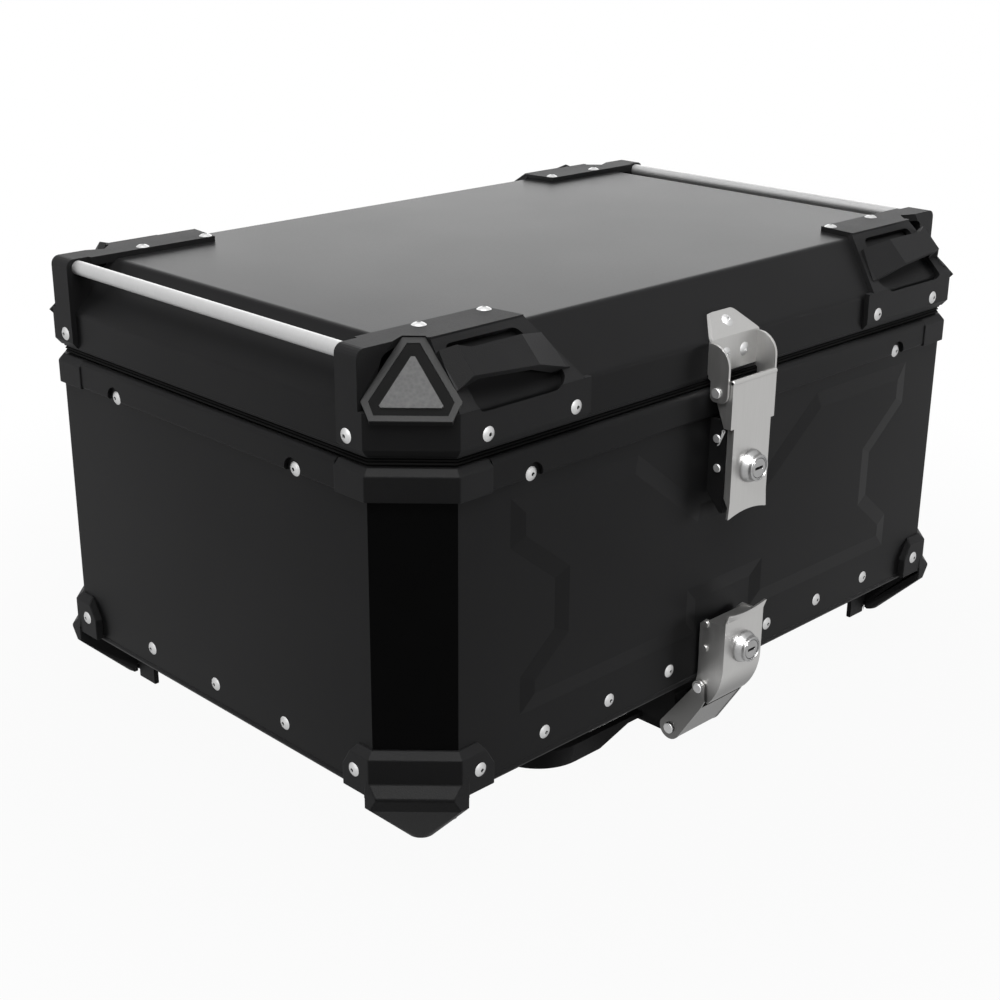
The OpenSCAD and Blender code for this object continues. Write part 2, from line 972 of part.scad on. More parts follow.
module front_slab() {
    difference() {
        linear_extrude(guard_t)
            polygon(slab_outline);
        translate([0, 0, -8])
            linear_extrude(8 + guard_t + 1)
                polygon(eased(slab_window, 5));
    }
}

// Strip on the flat of the lid, the post under its side end and the fillet between them
module guard_top() {
    post_x = -half_w - guard_t;
    inner_x = -half_w + 14;
    under_z = lid_z1 - 2;
    slab(under_z, strip_z1)
        translate([-half_w, -half_d])
            polygon([[3, guard_side], [3, guard_side - post_w], [32, guard_side - post_w], [46, 31.5], [123, 31.5],
                     [119, 63], [14, 63], [14, guard_side]]);
    along_y(-post_y - post_w, -post_y)
        polygon(concat(
            [[post_x, lid_z0 + 6]],
            arc([post_x + post_round, strip_z1 - post_round], post_round, 180, 90, 5),
            [[inner_x, strip_z1], [inner_x, crease_z + 14], [-half_w, crease_z], [-half_w, lid_z0 + 6]]));
    along_y(-post_y - post_w, -post_y)
        polygon(concat(
            [[inner_x - 1, under_z - post_round], [inner_x - 1, under_z + 1], [inner_x + post_round, under_z + 1]],
            arc([inner_x + post_round, under_z - post_round], post_round, 90, 180, 5)));
}

// Band on the upright skirt of the lid
module guard_skirt() {
    intersection() {
        difference() {
            hull() {
                slab(lid_z0, lid_z0 + 1)
                    plan(0.5);
                slab(lid_z0 + 4.5, crease_z + 1.6)
                    plan(guard_t);
            }
            slab(lid_z0 - 1, lid_z1)
                plan(0);
        }
        translate([-half_w - 10, -half_d - 10, 0])
            cube([half_w - guard_x + 10, half_d - post_y + 10, lid_z1]);
    }
}

module guard_shape() {
    difference() {
        union() {
            difference() {
                guard_skirt();
                on_front_slope()
                    translate([-half_w, 0, -8])
                        linear_extrude(20)
                            polygon(eased(slab_window, 5));
            }
            on_front_slope()
                translate([-half_w, 0, 0]) {
                    front_slab();
                    strap_bar();
                }
            guard_top();
            on_facet()
                translate([0, 0, -24])
                    linear_extrude(24)
                        polygon(pod);
        }
        lid_block();
        on_facet()
            linear_extrude(30)
                polygon(inset(pod, -0.2));
        rod_along_y(-rod_half, 0, [-rod_x, rod_z], rod_d / 2 + 0.1);
        guard_holes();
    }
}

module guard_holes() {
    for (x = guard_screw_xs)
        on_front(-x, guard_screw_z)
            shank_hole(1);
    on_left(-guard_screw_y, guard_screw_z)
        shank_hole(1);
    for (x = top_screw_xs)
        translate([-x, -top_screw_y, lid_z1])
            shank_hole(1);
}

module guard_front_left() {
    color("#1e1e1e")
        guard_shape();
}

module guard_front_right() {
    color("#1e1e1e")
        corner(1, 0)
            guard_shape();
}

module guard_rear_left() {
    color("#1e1e1e")
        corner(0, 1)
            guard_shape();
}

module guard_rear_right() {
    color("#1e1e1e")
        corner(1, 1)
            guard_shape();
}

module reflector_frames() {
    color("#6e6e6e")
        four_corners()
            on_facet()
                linear_extrude(1.2)
                    difference() {
                        polygon(pod);
                        polygon([[-21.6, 3.6], [21.6, 3.6], [25, 12.6], [3.8, 51.5], [-3.8, 51.5], [-25, 12.6]]);
                    }
}

module reflector_lenses() {
    color("#808080")
        four_corners()
            on_facet()
                linear_extrude(1.6)
                    polygon([[-18, 8.2], [18, 8.2], [19, 10], [1, 42.8], [-1, 42.8], [-19, 10]]);
}

module guard_screws() {
    color("#c4c4c4")
        four_corners() {
            for (x = guard_screw_xs)
                on_front(-x, guard_screw_z, guard_t)
                    button(guard_t);
            on_left(-guard_screw_y, guard_screw_z, guard_t)
                button(guard_t);
            for (x = top_screw_xs)
                translate([-x, -top_screw_y, strip_z1])
                    button(guard_t);
        }
}

module left_rod() {
    color("#c8c8c8")
        rod_along_y(-rod_half, rod_half, [-rod_x, rod_z], rod_d / 2);
}

module right_rod() {
    color("#c8c8c8")
        rod_along_y(-rod_half, rod_half, [rod_x, rod_z], rod_d / 2);
}

// Upper latch

ear_t = 2;
ear_in = hasp_w / 2 + 0.6;
ear_out = ear_in + ear_t;
bracket_rise = 13.5;
mitre = ear_t * tan(22.5);

// Bent plate in section: upright on the skirt, then up the slope
bracket_section = [
    [-half_d, lid_z0 + 2], [-half_d, crease_z], [-half_d + bracket_rise, crease_z + bracket_rise],
    [-half_d + bracket_rise - ear_t / diag, crease_z + bracket_rise + ear_t / diag],
    [-half_d - ear_t, crease_z + mitre], [-half_d - ear_t, lid_z0 + 2]];
bracket_front = eased([
    [-ear_out, lid_z0], [ear_out, lid_z0], [ear_out, crease_z], [12, crease_z + 15], [-12, crease_z + 15],
    [-ear_out, crease_z]], 3.5);
ear_front = -half_d - 18;
ear_round = 15;
ear_outline = concat(
    [[-half_d - 1, crease_z - 1], [-half_d - 1, lid_z0], [-half_d - 3.2, lid_z0 - 1.5]],
    arc([-half_d - 7.2, upper_pin[1] - 2.5], 4, 0, -90, 4),
    arc([ear_front + 6, upper_pin[1] - 0.5], 6, -90, -180, 5),
    arc([ear_front + ear_round, crease_z - 1 - ear_round], ear_round, 180, 90, 8));

module lid_bracket() {
    color("#b0b0b0")
        difference() {
            union() {
                intersection() {
                    along_x(latch_x - ear_out, latch_x + ear_out)
                        polygon(bracket_section);
                    translate([latch_x, 0, 0])
                        along_y(-half_d - 5, -half_d + 20)
                            polygon(bracket_front);
                }
                for (x = [-ear_out, ear_in])
                    along_x(latch_x + x, latch_x + x + ear_t)
                        polygon(ear_outline);
            }
            rod_along_x(latch_x - 40, latch_x + 40, upper_pin, pin_r + running);
        }
}

module bracket_screws() {
    color("#cfcfcf") {
        on_front_slope()
            translate([latch_x, 10.5, ear_t])
                button(0);
        for (s = [-1, 1])
            on_front(latch_x + s * 10, lid_z0 + 14, ear_t)
                button(0);
    }
}

hasp_outline = [
    [-21.5, hasp_z0], [21.5, hasp_z0], [20.4, hasp_z0 + 12], [20.4, hasp_step_z], [hasp_w / 2, hasp_step_z],
    [hasp_w / 2, hasp_z1], [-hasp_w / 2, hasp_z1], [-hasp_w / 2, hasp_step_z], [-20.4, hasp_step_z],
    [-20.4, hasp_z0 + 12]];
hasp_ear = concat(
    [[hasp_y, hasp_step_z], [hasp_y + 6, hasp_step_z]],
    arc(upper_pin, 5.2, -60, 90),
    [[hasp_y, hasp_z1]]);

module upper_hasp() {
    color("#b4b4b4")
        difference() {
            union() {
                on_front(latch_x, 0, -half_d - hasp_y - latch_t)
                    linear_extrude(latch_t)
                        polygon(hasp_outline);
                for (s = [-1, 1]) {
                    x = latch_x + s * (hasp_w / 2 - latch_t / 2);
                    along_x(x - latch_t / 2, x + latch_t / 2)
                        polygon(hasp_ear);
                    x2 = latch_x + s * (20.4 - latch_t / 2);
                    along_x(x2 - latch_t / 2, x2 + latch_t / 2)
                        polygon([[hasp_y, hasp_z0 + 8], [hasp_y + 2, hasp_z0 + 8], [hasp_y + 5.5, hasp_z0 + 14],
                                 [hasp_y + 5.5, hasp_step_z + 6], [hasp_y, hasp_step_z + 6]]);
                }
            }
            rod_along_x(latch_x - 40, latch_x + 40, upper_pin, pin_r + running);
            on_front(latch_x, upper_lock_z)
                cylinder(r = plug_r + running, h = 40);
            on_front(latch_x, hasp_z0 + scoop - scoop_r)
                cylinder(r = scoop_r, h = 40, $fn = 96);
        }
}

module upper_hasp_pin() {
    color("#c8c8c8") {
        rod_along_x(latch_x - ear_out - 1, latch_x + ear_out + 1, upper_pin, pin_r);
        for (s = [-1, 1]) {
            x = latch_x + s * (ear_out + 0.75);
            rod_along_x(x - 0.75, x + 0.75, upper_pin, pin_r + 1.2);
        }
    }
}

// Domed barrel on the outer face of a hasp
module lock_barrel(y, z) {
    face_r = lock_d / 2;
    bore_r = plug_r + running;
    translate([latch_x, y, z])
        rotate([90, 0, 0])
            rotate_extrude()
                polygon([[bore_r, 0], [face_r + 2.2, 0], [face_r + 2.4, 1], [face_r + 2, 2.4], [face_r + 1, 4.2],
                         [face_r + 0.2, 5.4], [face_r, 6.2], [face_r, lock_len - 0.6], [face_r - 0.6, lock_len],
                         [bore_r, lock_len]]);
}

// Turning plug with its key slot in front and its cam behind
module lock_plug(y, z) {
    back = cam_y - y;
    translate([latch_x, y, z])
        rotate([90, 0, 0])
            difference() {
                union() {
                    translate([0, 0, -latch_t - 1])
                        cylinder(r = plug_r, h = lock_len + latch_t + 0.6);
                    translate([0, 0, -back])
                        cylinder(r = 3, h = back);
                    translate([-3.5, -10, -back])
                        cube([7, 20, 3]);
                }
                translate([-4.2, -0.9, lock_len - 6])
                    cube([8.4, 1.8, 8]);
            }
}

module upper_lock_barrel() {
    color("#c6c6c6")
        lock_barrel(hasp_y, upper_lock_z);
}

module upper_lock_plug() {
    color("#dadada")
        lock_plug(hasp_y, upper_lock_z);
}

// Lower latch

// The front of the link runs straight down and then round its pivot
link_t = 2;
link_end_r = 9.2;
link_top = [-half_d - 7.6, wall_z0 - 21];
link_run = link_pivot - link_top;
link_a0 = atan2(link_run[1], link_run[0]) - asin(link_end_r / norm(link_run)) + 270;
link_a1 = 246;
link_in = -[cos(link_a0), sin(link_a0)];
link_cheek = concat(
    arc(lower_pin, 5.5, -20, 190),
    [[lower_pin[0] - 6, wall_z0 - 14], link_top],
    arc(link_pivot, link_end_r, link_a0, 380));
link_front = concat(
    [link_top + 0.3 * link_in],
    arc(link_pivot, link_end_r - 0.3, link_a0, link_a1, 4),
    arc(link_pivot, link_end_r - 0.3 - link_t, link_a1, link_a0, 4),
    [link_top + (0.3 + link_t) * link_in]);

module lower_link() {
    color("#b0b0b0")
        difference() {
            union() {
                for (x = [-link_half, link_half - link_t])
                    along_x(latch_x + x, latch_x + x + link_t)
                        polygon(link_cheek);
                along_x(latch_x - link_half + eps, latch_x + link_half - eps)
                    polygon(link_front);
            }
            rod_along_x(latch_x - 40, latch_x + 40, lower_pin, pin_r + running);
            rod_along_x(latch_x - 40, latch_x + 40, link_pivot, link_pin_r + running);
        }
}

cover_half = link_half - 2.4;
cover_bend = [cover_y + cover_bend_r, cover_bend_z];
cover_a1 = 221;
cover_sheet = concat(
    [[cover_y - 2.5, cover_z1], [cover_y, cover_z1 - 7]],
    arc(cover_bend, cover_bend_r, 180, cover_a1),
    arc(cover_bend, cover_bend_r - latch_t, cover_a1, 180),
    [[cover_y + latch_t, cover_z1 - 7], [cover_y + latch_t - 2.5, cover_z1]]);
cover_back = -half_d - 2;
cover_flange = concat(
    [[cover_y, cover_z1 - 9]],
    arc(cover_bend, cover_bend_r, 180, cover_a1 - 2),
    arc(lower_pin, 5.2, -90, 40),
    [[cover_back, wall_z0 + 8], [cover_back, cover_z1 - 13], [cover_back - 4, cover_z1 - 9]]);
cover_lip = [
    [cover_y + 0.5, cover_z1 - 10], [cover_back - 4, cover_z1 - 13], [cover_back - 4, cover_z1 - 13 + latch_t],
    [cover_y + 0.5, cover_z1 - 10 + latch_t]];

module lower_hasp() {
    color("#b4b4b4")
        difference() {
            union() {
                along_x(latch_x - cover_half, latch_x + cover_half)
                    polygon(cover_sheet);
                along_x(latch_x - cover_half + eps, latch_x + cover_half - eps)
                    polygon(cover_lip);
                for (x = [-cover_half, cover_half - latch_t])
                    along_x(latch_x + x, latch_x + x + latch_t)
                        polygon(cover_flange);
                for (z = [wall_z0 + 27, wall_z0 + 46])
                    rod_along_x(latch_x - cover_half - 1.2, latch_x - cover_half + 1, [-half_d - 7, z], 2.6);
                for (z = [wall_z0 + 27, wall_z0 + 46])
                    rod_along_x(latch_x + cover_half - 1, latch_x + cover_half + 1.2, [-half_d - 7, z], 2.6);
            }
            rod_along_x(latch_x - 40, latch_x + 40, lower_pin, pin_r + running);
            on_front(latch_x, lower_lock_z)
                cylinder(r = plug_r + running, h = 40);
            on_front(latch_x, cover_z1 - scoop + scoop_r)
                cylinder(r = scoop_r, h = 60, $fn = 96);
        }
}

module lower_hasp_pin() {
    color("#c8c8c8") {
        rod_along_x(latch_x - link_half - 1, latch_x + link_half + 1, lower_pin, pin_r);
        for (s = [-1, 1]) {
            x = latch_x + s * (link_half + 0.75);
            rod_along_x(x - 0.75, x + 0.75, lower_pin, pin_r + 1.2);
        }
    }
}

module lower_lock_barrel() {
    color("#c6c6c6")
        lock_barrel(cover_y, lower_lock_z);
}

module lower_lock_plug() {
    color("#dadada")
        lock_plug(cover_y, lower_lock_z);
}

front_panel();
rear_panel();
left_panel();
right_panel();
corner_panels();
bottom_pan();
front_rail();
rear_rail();
left_rail();
right_rail();
rim_corners();
foot_front_left();
foot_front_right();
foot_rear_left();
foot_rear_right();
panel_rivets();
foot_rivets();
rim_screws();
upper_keeper();
lower_keeper();
keeper_pins();
hinge_body_leaves();
hinge_lid_leaves();
hinge_pins();
carrier_plate();
carrier_posts();
carrier_hook();
support_pads();
rear_socket();
link_pin();
lid_shell();
lid_rim();
lid_seal();
guard_front_left();
guard_front_right();
guard_rear_left();
guard_rear_right();
reflector_frames();
reflector_lenses();
guard_screws();
left_rod();
right_rod();
lid_bracket();
bracket_screws();
upper_hasp();
upper_hasp_pin();
upper_lock_barrel();
upper_lock_plug();
lower_link();
lower_hasp();
lower_hasp_pin();
lower_lock_barrel();
lower_lock_plug();
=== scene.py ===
"""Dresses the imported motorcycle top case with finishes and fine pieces, in a plain studio."""

import json
import math

import bmesh
import bpy
import numpy as np
from mathutils import Matrix, Vector


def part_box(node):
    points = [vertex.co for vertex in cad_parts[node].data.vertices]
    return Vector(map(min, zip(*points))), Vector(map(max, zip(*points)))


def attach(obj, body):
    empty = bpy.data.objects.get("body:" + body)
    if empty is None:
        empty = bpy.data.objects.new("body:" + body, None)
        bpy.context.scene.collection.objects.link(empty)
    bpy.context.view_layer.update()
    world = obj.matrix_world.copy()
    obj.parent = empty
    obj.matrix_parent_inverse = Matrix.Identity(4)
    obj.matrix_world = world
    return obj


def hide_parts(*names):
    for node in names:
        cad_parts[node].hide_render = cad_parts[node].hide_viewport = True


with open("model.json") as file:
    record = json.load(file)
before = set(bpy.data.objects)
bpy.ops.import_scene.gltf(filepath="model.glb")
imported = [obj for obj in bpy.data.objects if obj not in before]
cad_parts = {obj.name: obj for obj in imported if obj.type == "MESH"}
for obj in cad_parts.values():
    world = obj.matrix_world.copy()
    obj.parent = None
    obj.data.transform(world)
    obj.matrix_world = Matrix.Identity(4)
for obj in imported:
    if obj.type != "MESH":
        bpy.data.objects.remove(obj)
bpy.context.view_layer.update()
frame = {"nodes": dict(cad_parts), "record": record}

bl_info = {
    "name": "Top Case Dressing",
    "version": (1, 0, 0),
    "blender": (4, 5, 0),
    "location": "View3D > Sidebar > Top Case",
    "description": "Finishes, fine pieces and studio for a motorcycle top case",
    "category": "Object",
}

MM = 0.001

# Levels and places of the case in millimetres, in the frame of the solids
HALF_WIDTH, HALF_DEPTH, CORNER_CUT = 300.0, 205.5, 38.0
WALL_FOOT, RIM_TOP = 59.0, 279.5
LATCH_X = -5.0

# Hem: its middle from the face of the wall, its half thickness and how far it hangs below the wall
HEM_MIDDLE, HEM_HALF, HEM_DROP = -1.4, 2.3, 0.3

# Seal: its face and back from the face of the wall, its corners, its gap above the rim and its own height
SEAL_FACE, SEAL_BACK, SEAL_CORNER = -1.85, -9.0, 0.4
SEAL_GAP, SEAL_HEIGHT, LIP_ROUNDNESS = 0.45, 4.5, 0.6

# Reflectors: foot of a facet's middle line, how the facet turns and leans, and what is drawn on it
FACET_PLACE = (-285.95, -191.45, 310.0)
FACET_TURN, FACET_LEAN = math.radians(-45), math.radians(45)
FRAME_HOLE = ((-21.5, 3.7), (21.5, 3.7), (24.9, 12.6), (3.7, 51.4), (-3.7, 51.4), (-24.9, 12.6))
BED_HOLE = ((-18.0, 8.3), (18.0, 8.3), (18.9, 10.0), (1.0, 42.7), (-1.0, 42.7), (-18.9, 10.0))
BED_TOP, BED_EDGE, BED_FOOT = 0.8, 0.3, 0.02
FILM_LEVELS, FILM_HALVES, FILM_RISE = (8.2, 10.0, 42.8), (18.0, 19.0, 1.0), 1.4
RAMP_ACROSS, RAMP_UP = 0.025, 0.012
WAVE_TURNS = np.radians([0.0, 60.0, 120.0])

# Rubber pads on the posts of the carrier
PAD_PLACES = [(sx * 100.0, sy * 118.0) for sx in (-1, 1) for sy in (-1, 1)]
PAD_RADIUS, PAD_HEIGHT, PAD_EDGE, RIB_HALF = 22.0, 5.0, 0.8, 0.4
PAD_SHOULDER = ((-0.2, -0.6), (0.0, -1.2))

# Hinges along X, their screws to each side, the thickness of the leaves and the levels of the screws
HINGE_PLACES, HINGE_SPREAD = (-110.0, 110.0), 20.0
LID_LEAF, RIM_LEAF = 2.0, 1.5
LID_LEAF_LEVEL, RIM_LEAF_LEVEL = 301.0, 267.0

# Rivets and screws of the walls, as distance from the middle, wall, height of the seat and level
RIVET_LEVEL, RIM_SCREW_LEVEL, GUARD_SCREW_LEVEL = 76.0, 261.0, 297.0
FOOT_SEAT, GUARD_SEAT, CORE_RISE = 6.0, 4.0, 0.85
CASE_CORES = [
    (57.0, "front", 0.0, RIVET_LEVEL), (120.5, "front", 0.0, RIVET_LEVEL), (184.0, "front", 0.0, RIVET_LEVEL),
    (0.0, "side", 0.0, RIVET_LEVEL), (77.8, "side", 0.0, RIVET_LEVEL),
    (248.6, "front", FOOT_SEAT, RIVET_LEVEL), (155.9, "side", FOOT_SEAT, RIVET_LEVEL),
    (200.5, "front", 0.0, RIM_SCREW_LEVEL), (99.7, "side", 0.0, RIM_SCREW_LEVEL)]
LID_CORES = [
    (241.0, "front", GUARD_SEAT, GUARD_SCREW_LEVEL), (165.4, "front", GUARD_SEAT, GUARD_SCREW_LEVEL),
    (154.5, "side", GUARD_SEAT, GUARD_SCREW_LEVEL)]
STRIP_SCREWS = [(sx * x, sy * 148.0) for x in (240.0, 185.5) for sx in (1, -1) for sy in (1, -1)]
STRIP_TOP = 351.0

# Latches: locks, rolled edge of the upper hasp, and keeper with its springs, where pairs are (y, z)
LOCK_PLACES = {"upper": (-226.0, 223.5), "lower": (-230.0, 87.0)}
LOCK_BORE, LOCK_RADIUS, LOCK_LENGTH, LOCK_STEP = 7.3, 9.5, 8.5, 0.6
HASP_EDGE, HASP_HALF, ROLL_END, ROLL_TIP = (-224.9, 286.9), 24.0, 0.4, 0.75
KEEPER_PIN, KEEPER_HALF = (-212.5, 244.5), 20.5
SPRING_TAIL, SPRING_HEAD = ((-1.0, -4.6), (-2.0, -3.6)), ((-3.4, 0.4), (-2.6, -1.0))
SPRING_BEND, BEND_RADIUS, SPRING_GAP = (-5.4, 6.0), 1.1, 0.15

# Levels in metres between which the painted shade low on the latches ends, and how far its edge wanders
PAINTED_SHADE_LOW, PAINTED_SHADE_HIGH, PAINTED_SHADE_WAVE = 0.05, 0.074, 0.008

# Studio in metres, with the sensor in millimetres and the horizon's light between two heights of the sky
SENSOR_WIDTH, VIEW_DEPTH = 36.0, 200.0
FLOOR_HALF, FLOOR_NEAR, FLOOR_FAR, FLOOR_WHITE = 60.0, 0.3, 0.9, 0.95
HORIZON_LOW, HORIZON_HIGH, HORIZON_LIGHT = 0.02, 0.1, 0.72

# Lamps: place, aim, width and height, power in watts, whether it lights the gloss, whether it lights the matte
SOFTBOXES = {
    "top_softbox": ((-0.35, -0.35, 2.3), (-0.1, -0.1, 0.2), (2.2, 2.2), 62.0, False, True),
    "sheen_softbox": ((-1.15, -0.92, 1.9), (-0.2, -0.15, 0.2), (0.9, 0.9), 140.0, True, False),
    "fill_softbox": ((1.5, -0.8, 1.7), (0.0, -0.2, 0.3), (1.0, 1.0), 3.0, False, True),
    "back_softbox": ((1.55, 1.6, 1.05), (0.0, 0.0, 0.35), (2.8, 1.3), 24.0, True, True),
    "left_fill": ((-1.3, 1.6, 0.2), (-0.3, 0.0, 0.12), (0.8, 0.4), 42.0, False, True),
    "right_fill": ((1.7, -1.3, 0.2), (0.0, -0.2, 0.12), (0.8, 0.4), 46.0, False, True),
}


class Value:
    """A shader value: arithmetic on it adds Math nodes to the tree that it belongs to."""

    def __init__(self, nodes, socket):
        self.nodes = nodes
        self.socket = socket

    def _math(self, operation, first, second):
        """A Math node on two values or numbers."""
        return self.nodes.node("ShaderNodeMath", {"operation": operation}, {0: first, 1: second})

    def __add__(self, other):
        return self._math("ADD", self, other)

    def __radd__(self, other):
        return self._math("ADD", other, self)

    def __sub__(self, other):
        return self._math("SUBTRACT", self, other)

    def __rsub__(self, other):
        return self._math("SUBTRACT", other, self)

    def __mul__(self, other):
        return self._math("MULTIPLY", self, other)

    def __rmul__(self, other):
        return self._math("MULTIPLY", other, self)


class Nodes:
    """An emptied node tree, filled by one method."""

    def __init__(self, owner):
        owner.use_nodes = True
        self.tree = owner.node_tree
        self.tree.nodes.clear()

    def node(self, kind, settings=None, inputs=None, output=0):
        """Adds a node, sets it up, feeds its sockets and gives back one of its outputs."""
        node = self.tree.nodes.new(kind)
        for name, value in (settings or {}).items():
            setattr(node, name, value)
        for key, value in (inputs or {}).items():
            if isinstance(value, Value):
                self.tree.links.new(value.socket, node.inputs[key])
            else:
                node.inputs[key].default_value = value
        return Value(self, node.outputs[output]) if node.outputs else None

    def smooth(self, value, low, high, first=0.0, second=1.0):
        """A value eased from first to second between its low and high ends."""
        sockets = {"Value": value, "From Min": low, "From Max": high, "To Min": first, "To Max": second}
        return self.node("ShaderNodeMapRange", {"interpolation_type": "SMOOTHSTEP"}, sockets)

    def seen(self):
        """1 for rays from the camera, from reflections and through glass, which see the white studio, and else 0."""
        return (self.node("ShaderNodeLightPath", output="Is Camera Ray")
                + self.node("ShaderNodeLightPath", output="Is Glossy Ray")
                + self.node("ShaderNodeLightPath", output="Is Transmission Ray"))


class Finish(Nodes):
    """A procedural material with a Principled shader on its output."""

    def __init__(self, name, constants):
        self.material = bpy.data.materials.new(name)
        super().__init__(self.material)
        self.surface = self.node("ShaderNodeBsdfPrincipled", None, constants, "BSDF")
        self.shader = self.surface.socket.node
        self.node("ShaderNodeOutputMaterial", None, {"Surface": self.surface})
        self.place = self.node("ShaderNodeTexCoord", output="Object")

    def stretched(self, scale):
        """Object coordinates scaled unevenly along X, Y and Z."""
        return self.node("ShaderNodeMapping", None, {"Vector": self.place, "Scale": scale})

    def noise(self, scale, detail=2.0, roughness=0.5, vector=None):
        """Noise from 0 to 1 whose grains are about 1 / scale metres wide."""
        sockets = {"Vector": vector or self.place, "Scale": scale, "Detail": detail, "Roughness": roughness}
        return self.node("ShaderNodeTexNoise", None, sockets, "Fac")

    def cells(self, scale):
        """Distance to the nearest of scattered points, about 1 / scale metres apart."""
        return self.node("ShaderNodeTexVoronoi", None, {"Vector": self.place, "Scale": scale}, "Distance")

    def blend(self, factor, first, second):
        """Mix of two colours."""
        return self.node("ShaderNodeMix", {"data_type": "RGBA"}, {0: factor, 6: first, 7: second}, 2)

    def bump(self, height, depth, strength):
        """Surface relief of the given depth in metres."""
        return self.node("ShaderNodeBump", None, {"Height": height, "Distance": depth, "Strength": strength}, "Normal")

    def feed(self, **sockets):
        """Links values to the shader, named as Base_Color for the Base Color socket."""
        for name, value in sockets.items():
            self.tree.links.new(value.socket, self.shader.inputs[name.replace("_", " ")])
        return self.material

    def follow(self, pattern, colour, dim, rough, spread, **sockets):
        """Tone and roughness after a pattern: from a dimmed colour to the colour, and rough + spread * pattern."""
        tone = self.blend(pattern, shade(colour, dim), tuple(colour))
        return self.feed(Base_Color=tone, Roughness=rough + spread * pattern, **sockets)


def grey(level):
    """Opaque neutral colour."""
    return (level, level, level, 1.0)


def shade(colour, factor):
    """A colour made lighter or darker by a factor."""
    return tuple(c * factor for c in tuple(colour)[:3]) + (1.0,)


class TopCaseFinishes(bpy.types.PropertyGroup):
    """Colours of the case's finishes."""
    coat: bpy.props.FloatVectorProperty(
        name="Coat", description="Powder coat of the aluminium sheet", subtype="COLOR", size=4,
        min=0.0, max=1.0, default=(0.012, 0.012, 0.0123, 1.0))
    plastic: bpy.props.FloatVectorProperty(
        name="Plastic", description="Moulded guards, feet and carrier", subtype="COLOR", size=4,
        min=0.0, max=1.0, default=(0.015, 0.015, 0.0154, 1.0))
    steel: bpy.props.FloatVectorProperty(
        name="Steel", description="Brushed stainless latches and hinges", subtype="COLOR", size=4,
        min=0.0, max=1.0, default=(0.48, 0.476, 0.468, 1.0))
    rod: bpy.props.FloatVectorProperty(
        name="Rods", description="Satin aluminium side rods", subtype="COLOR", size=4,
        min=0.0, max=1.0, default=grey(0.47))
    bright: bpy.props.FloatVectorProperty(
        name="Rivets", description="Satin steel of the rivets, screws and pins", subtype="COLOR", size=4,
        min=0.0, max=1.0, default=grey(0.56))
    chrome: bpy.props.FloatVectorProperty(
        name="Locks", description="Satin metal of the locks", subtype="COLOR", size=4,
        min=0.0, max=1.0, default=grey(0.37))
    pan: bpy.props.FloatVectorProperty(
        name="Pan", description="Bare aluminium of the bottom pan", subtype="COLOR", size=4,
        min=0.0, max=1.0, default=grey(0.26))
    # The rubber colour also paints the shade in the rivet dimples and screw sockets
    rubber: bpy.props.FloatVectorProperty(
        name="Rubber", description="Seal, pads and dark recesses", subtype="COLOR", size=4,
        min=0.0, max=1.0, default=grey(0.006))
    reflector_frame: bpy.props.FloatVectorProperty(
        name="Reflector frames", description="Grey moulded frames of the reflectors", subtype="COLOR", size=4,
        min=0.0, max=1.0, default=grey(0.07))
    reflector_film: bpy.props.FloatVectorProperty(
        name="Reflector film", description="Grey prism film of the reflectors", subtype="COLOR", size=4,
        min=0.0, max=1.0, default=grey(0.165))


class TopCasePieces(bpy.types.PropertyGroup):
    """Sizes of the fine pieces."""
    hem_height: bpy.props.FloatProperty(
        name="Hem height", description="Height of the rolled hem along the foot of the walls",
        unit="LENGTH", min=0.003, max=0.008, default=0.0052)
    lip_depth: bpy.props.FloatProperty(
        name="Lip depth", description="Depth of the groove between the two lips of the lid seal",
        unit="LENGTH", min=0.0005, max=0.003, default=0.002)
    prism_pitch: bpy.props.FloatProperty(
        name="Prism pitch", description="Spacing of the prisms of the reflectors",
        unit="LENGTH", min=0.0015, max=0.005, default=0.0026)
    prism_depth: bpy.props.FloatProperty(
        name="Prism depth", description="Height of the prisms of the reflectors",
        unit="LENGTH", min=0.00005, max=0.0005, default=0.00016)
    rib_pitch: bpy.props.FloatProperty(
        name="Rib pitch", description="Spacing of the rings on the rubber pads",
        unit="LENGTH", min=0.002, max=0.008, default=0.004)
    hasp_roll: bpy.props.FloatProperty(
        name="Hasp roll", description="Radius of the rolled upper edge of the upper hasp",
        unit="LENGTH", min=0.0015, max=0.0019, default=0.0018)
    wire: bpy.props.FloatProperty(
        name="Spring wire", description="Diameter of the catch spring wires",
        unit="LENGTH", min=0.0008, max=0.0014, default=0.0011)


class TopCaseStudio(bpy.types.PropertyGroup):
    """Camera and light of the studio."""
    camera_place: bpy.props.FloatVectorProperty(
        name="Camera", description="Place of the camera", subtype="TRANSLATION", unit="LENGTH", size=3,
        default=(-0.888, -0.871, 0.6098))
    heading: bpy.props.FloatProperty(
        name="Heading", description="Turn of the camera about the vertical", unit="ROTATION", subtype="ANGLE",
        default=math.radians(-44.794))
    pitch: bpy.props.FloatProperty(
        name="Pitch", description="Tilt of the camera up from straight down", unit="ROTATION", subtype="ANGLE",
        default=math.radians(69.05))
    roll: bpy.props.FloatProperty(
        name="Roll", description="Turn of the camera about its own axis", unit="ROTATION", subtype="ANGLE",
        default=math.radians(0.45))
    lens: bpy.props.FloatProperty(
        name="Lens", description="Focal length in millimetres on a 36 mm sensor", default=59.857)
    sky_low: bpy.props.FloatProperty(
        name="Sky low", description="Light from just above the horizon", default=0.024)
    sky_high: bpy.props.FloatProperty(
        name="Sky high", description="Light from straight above", default=0.12)


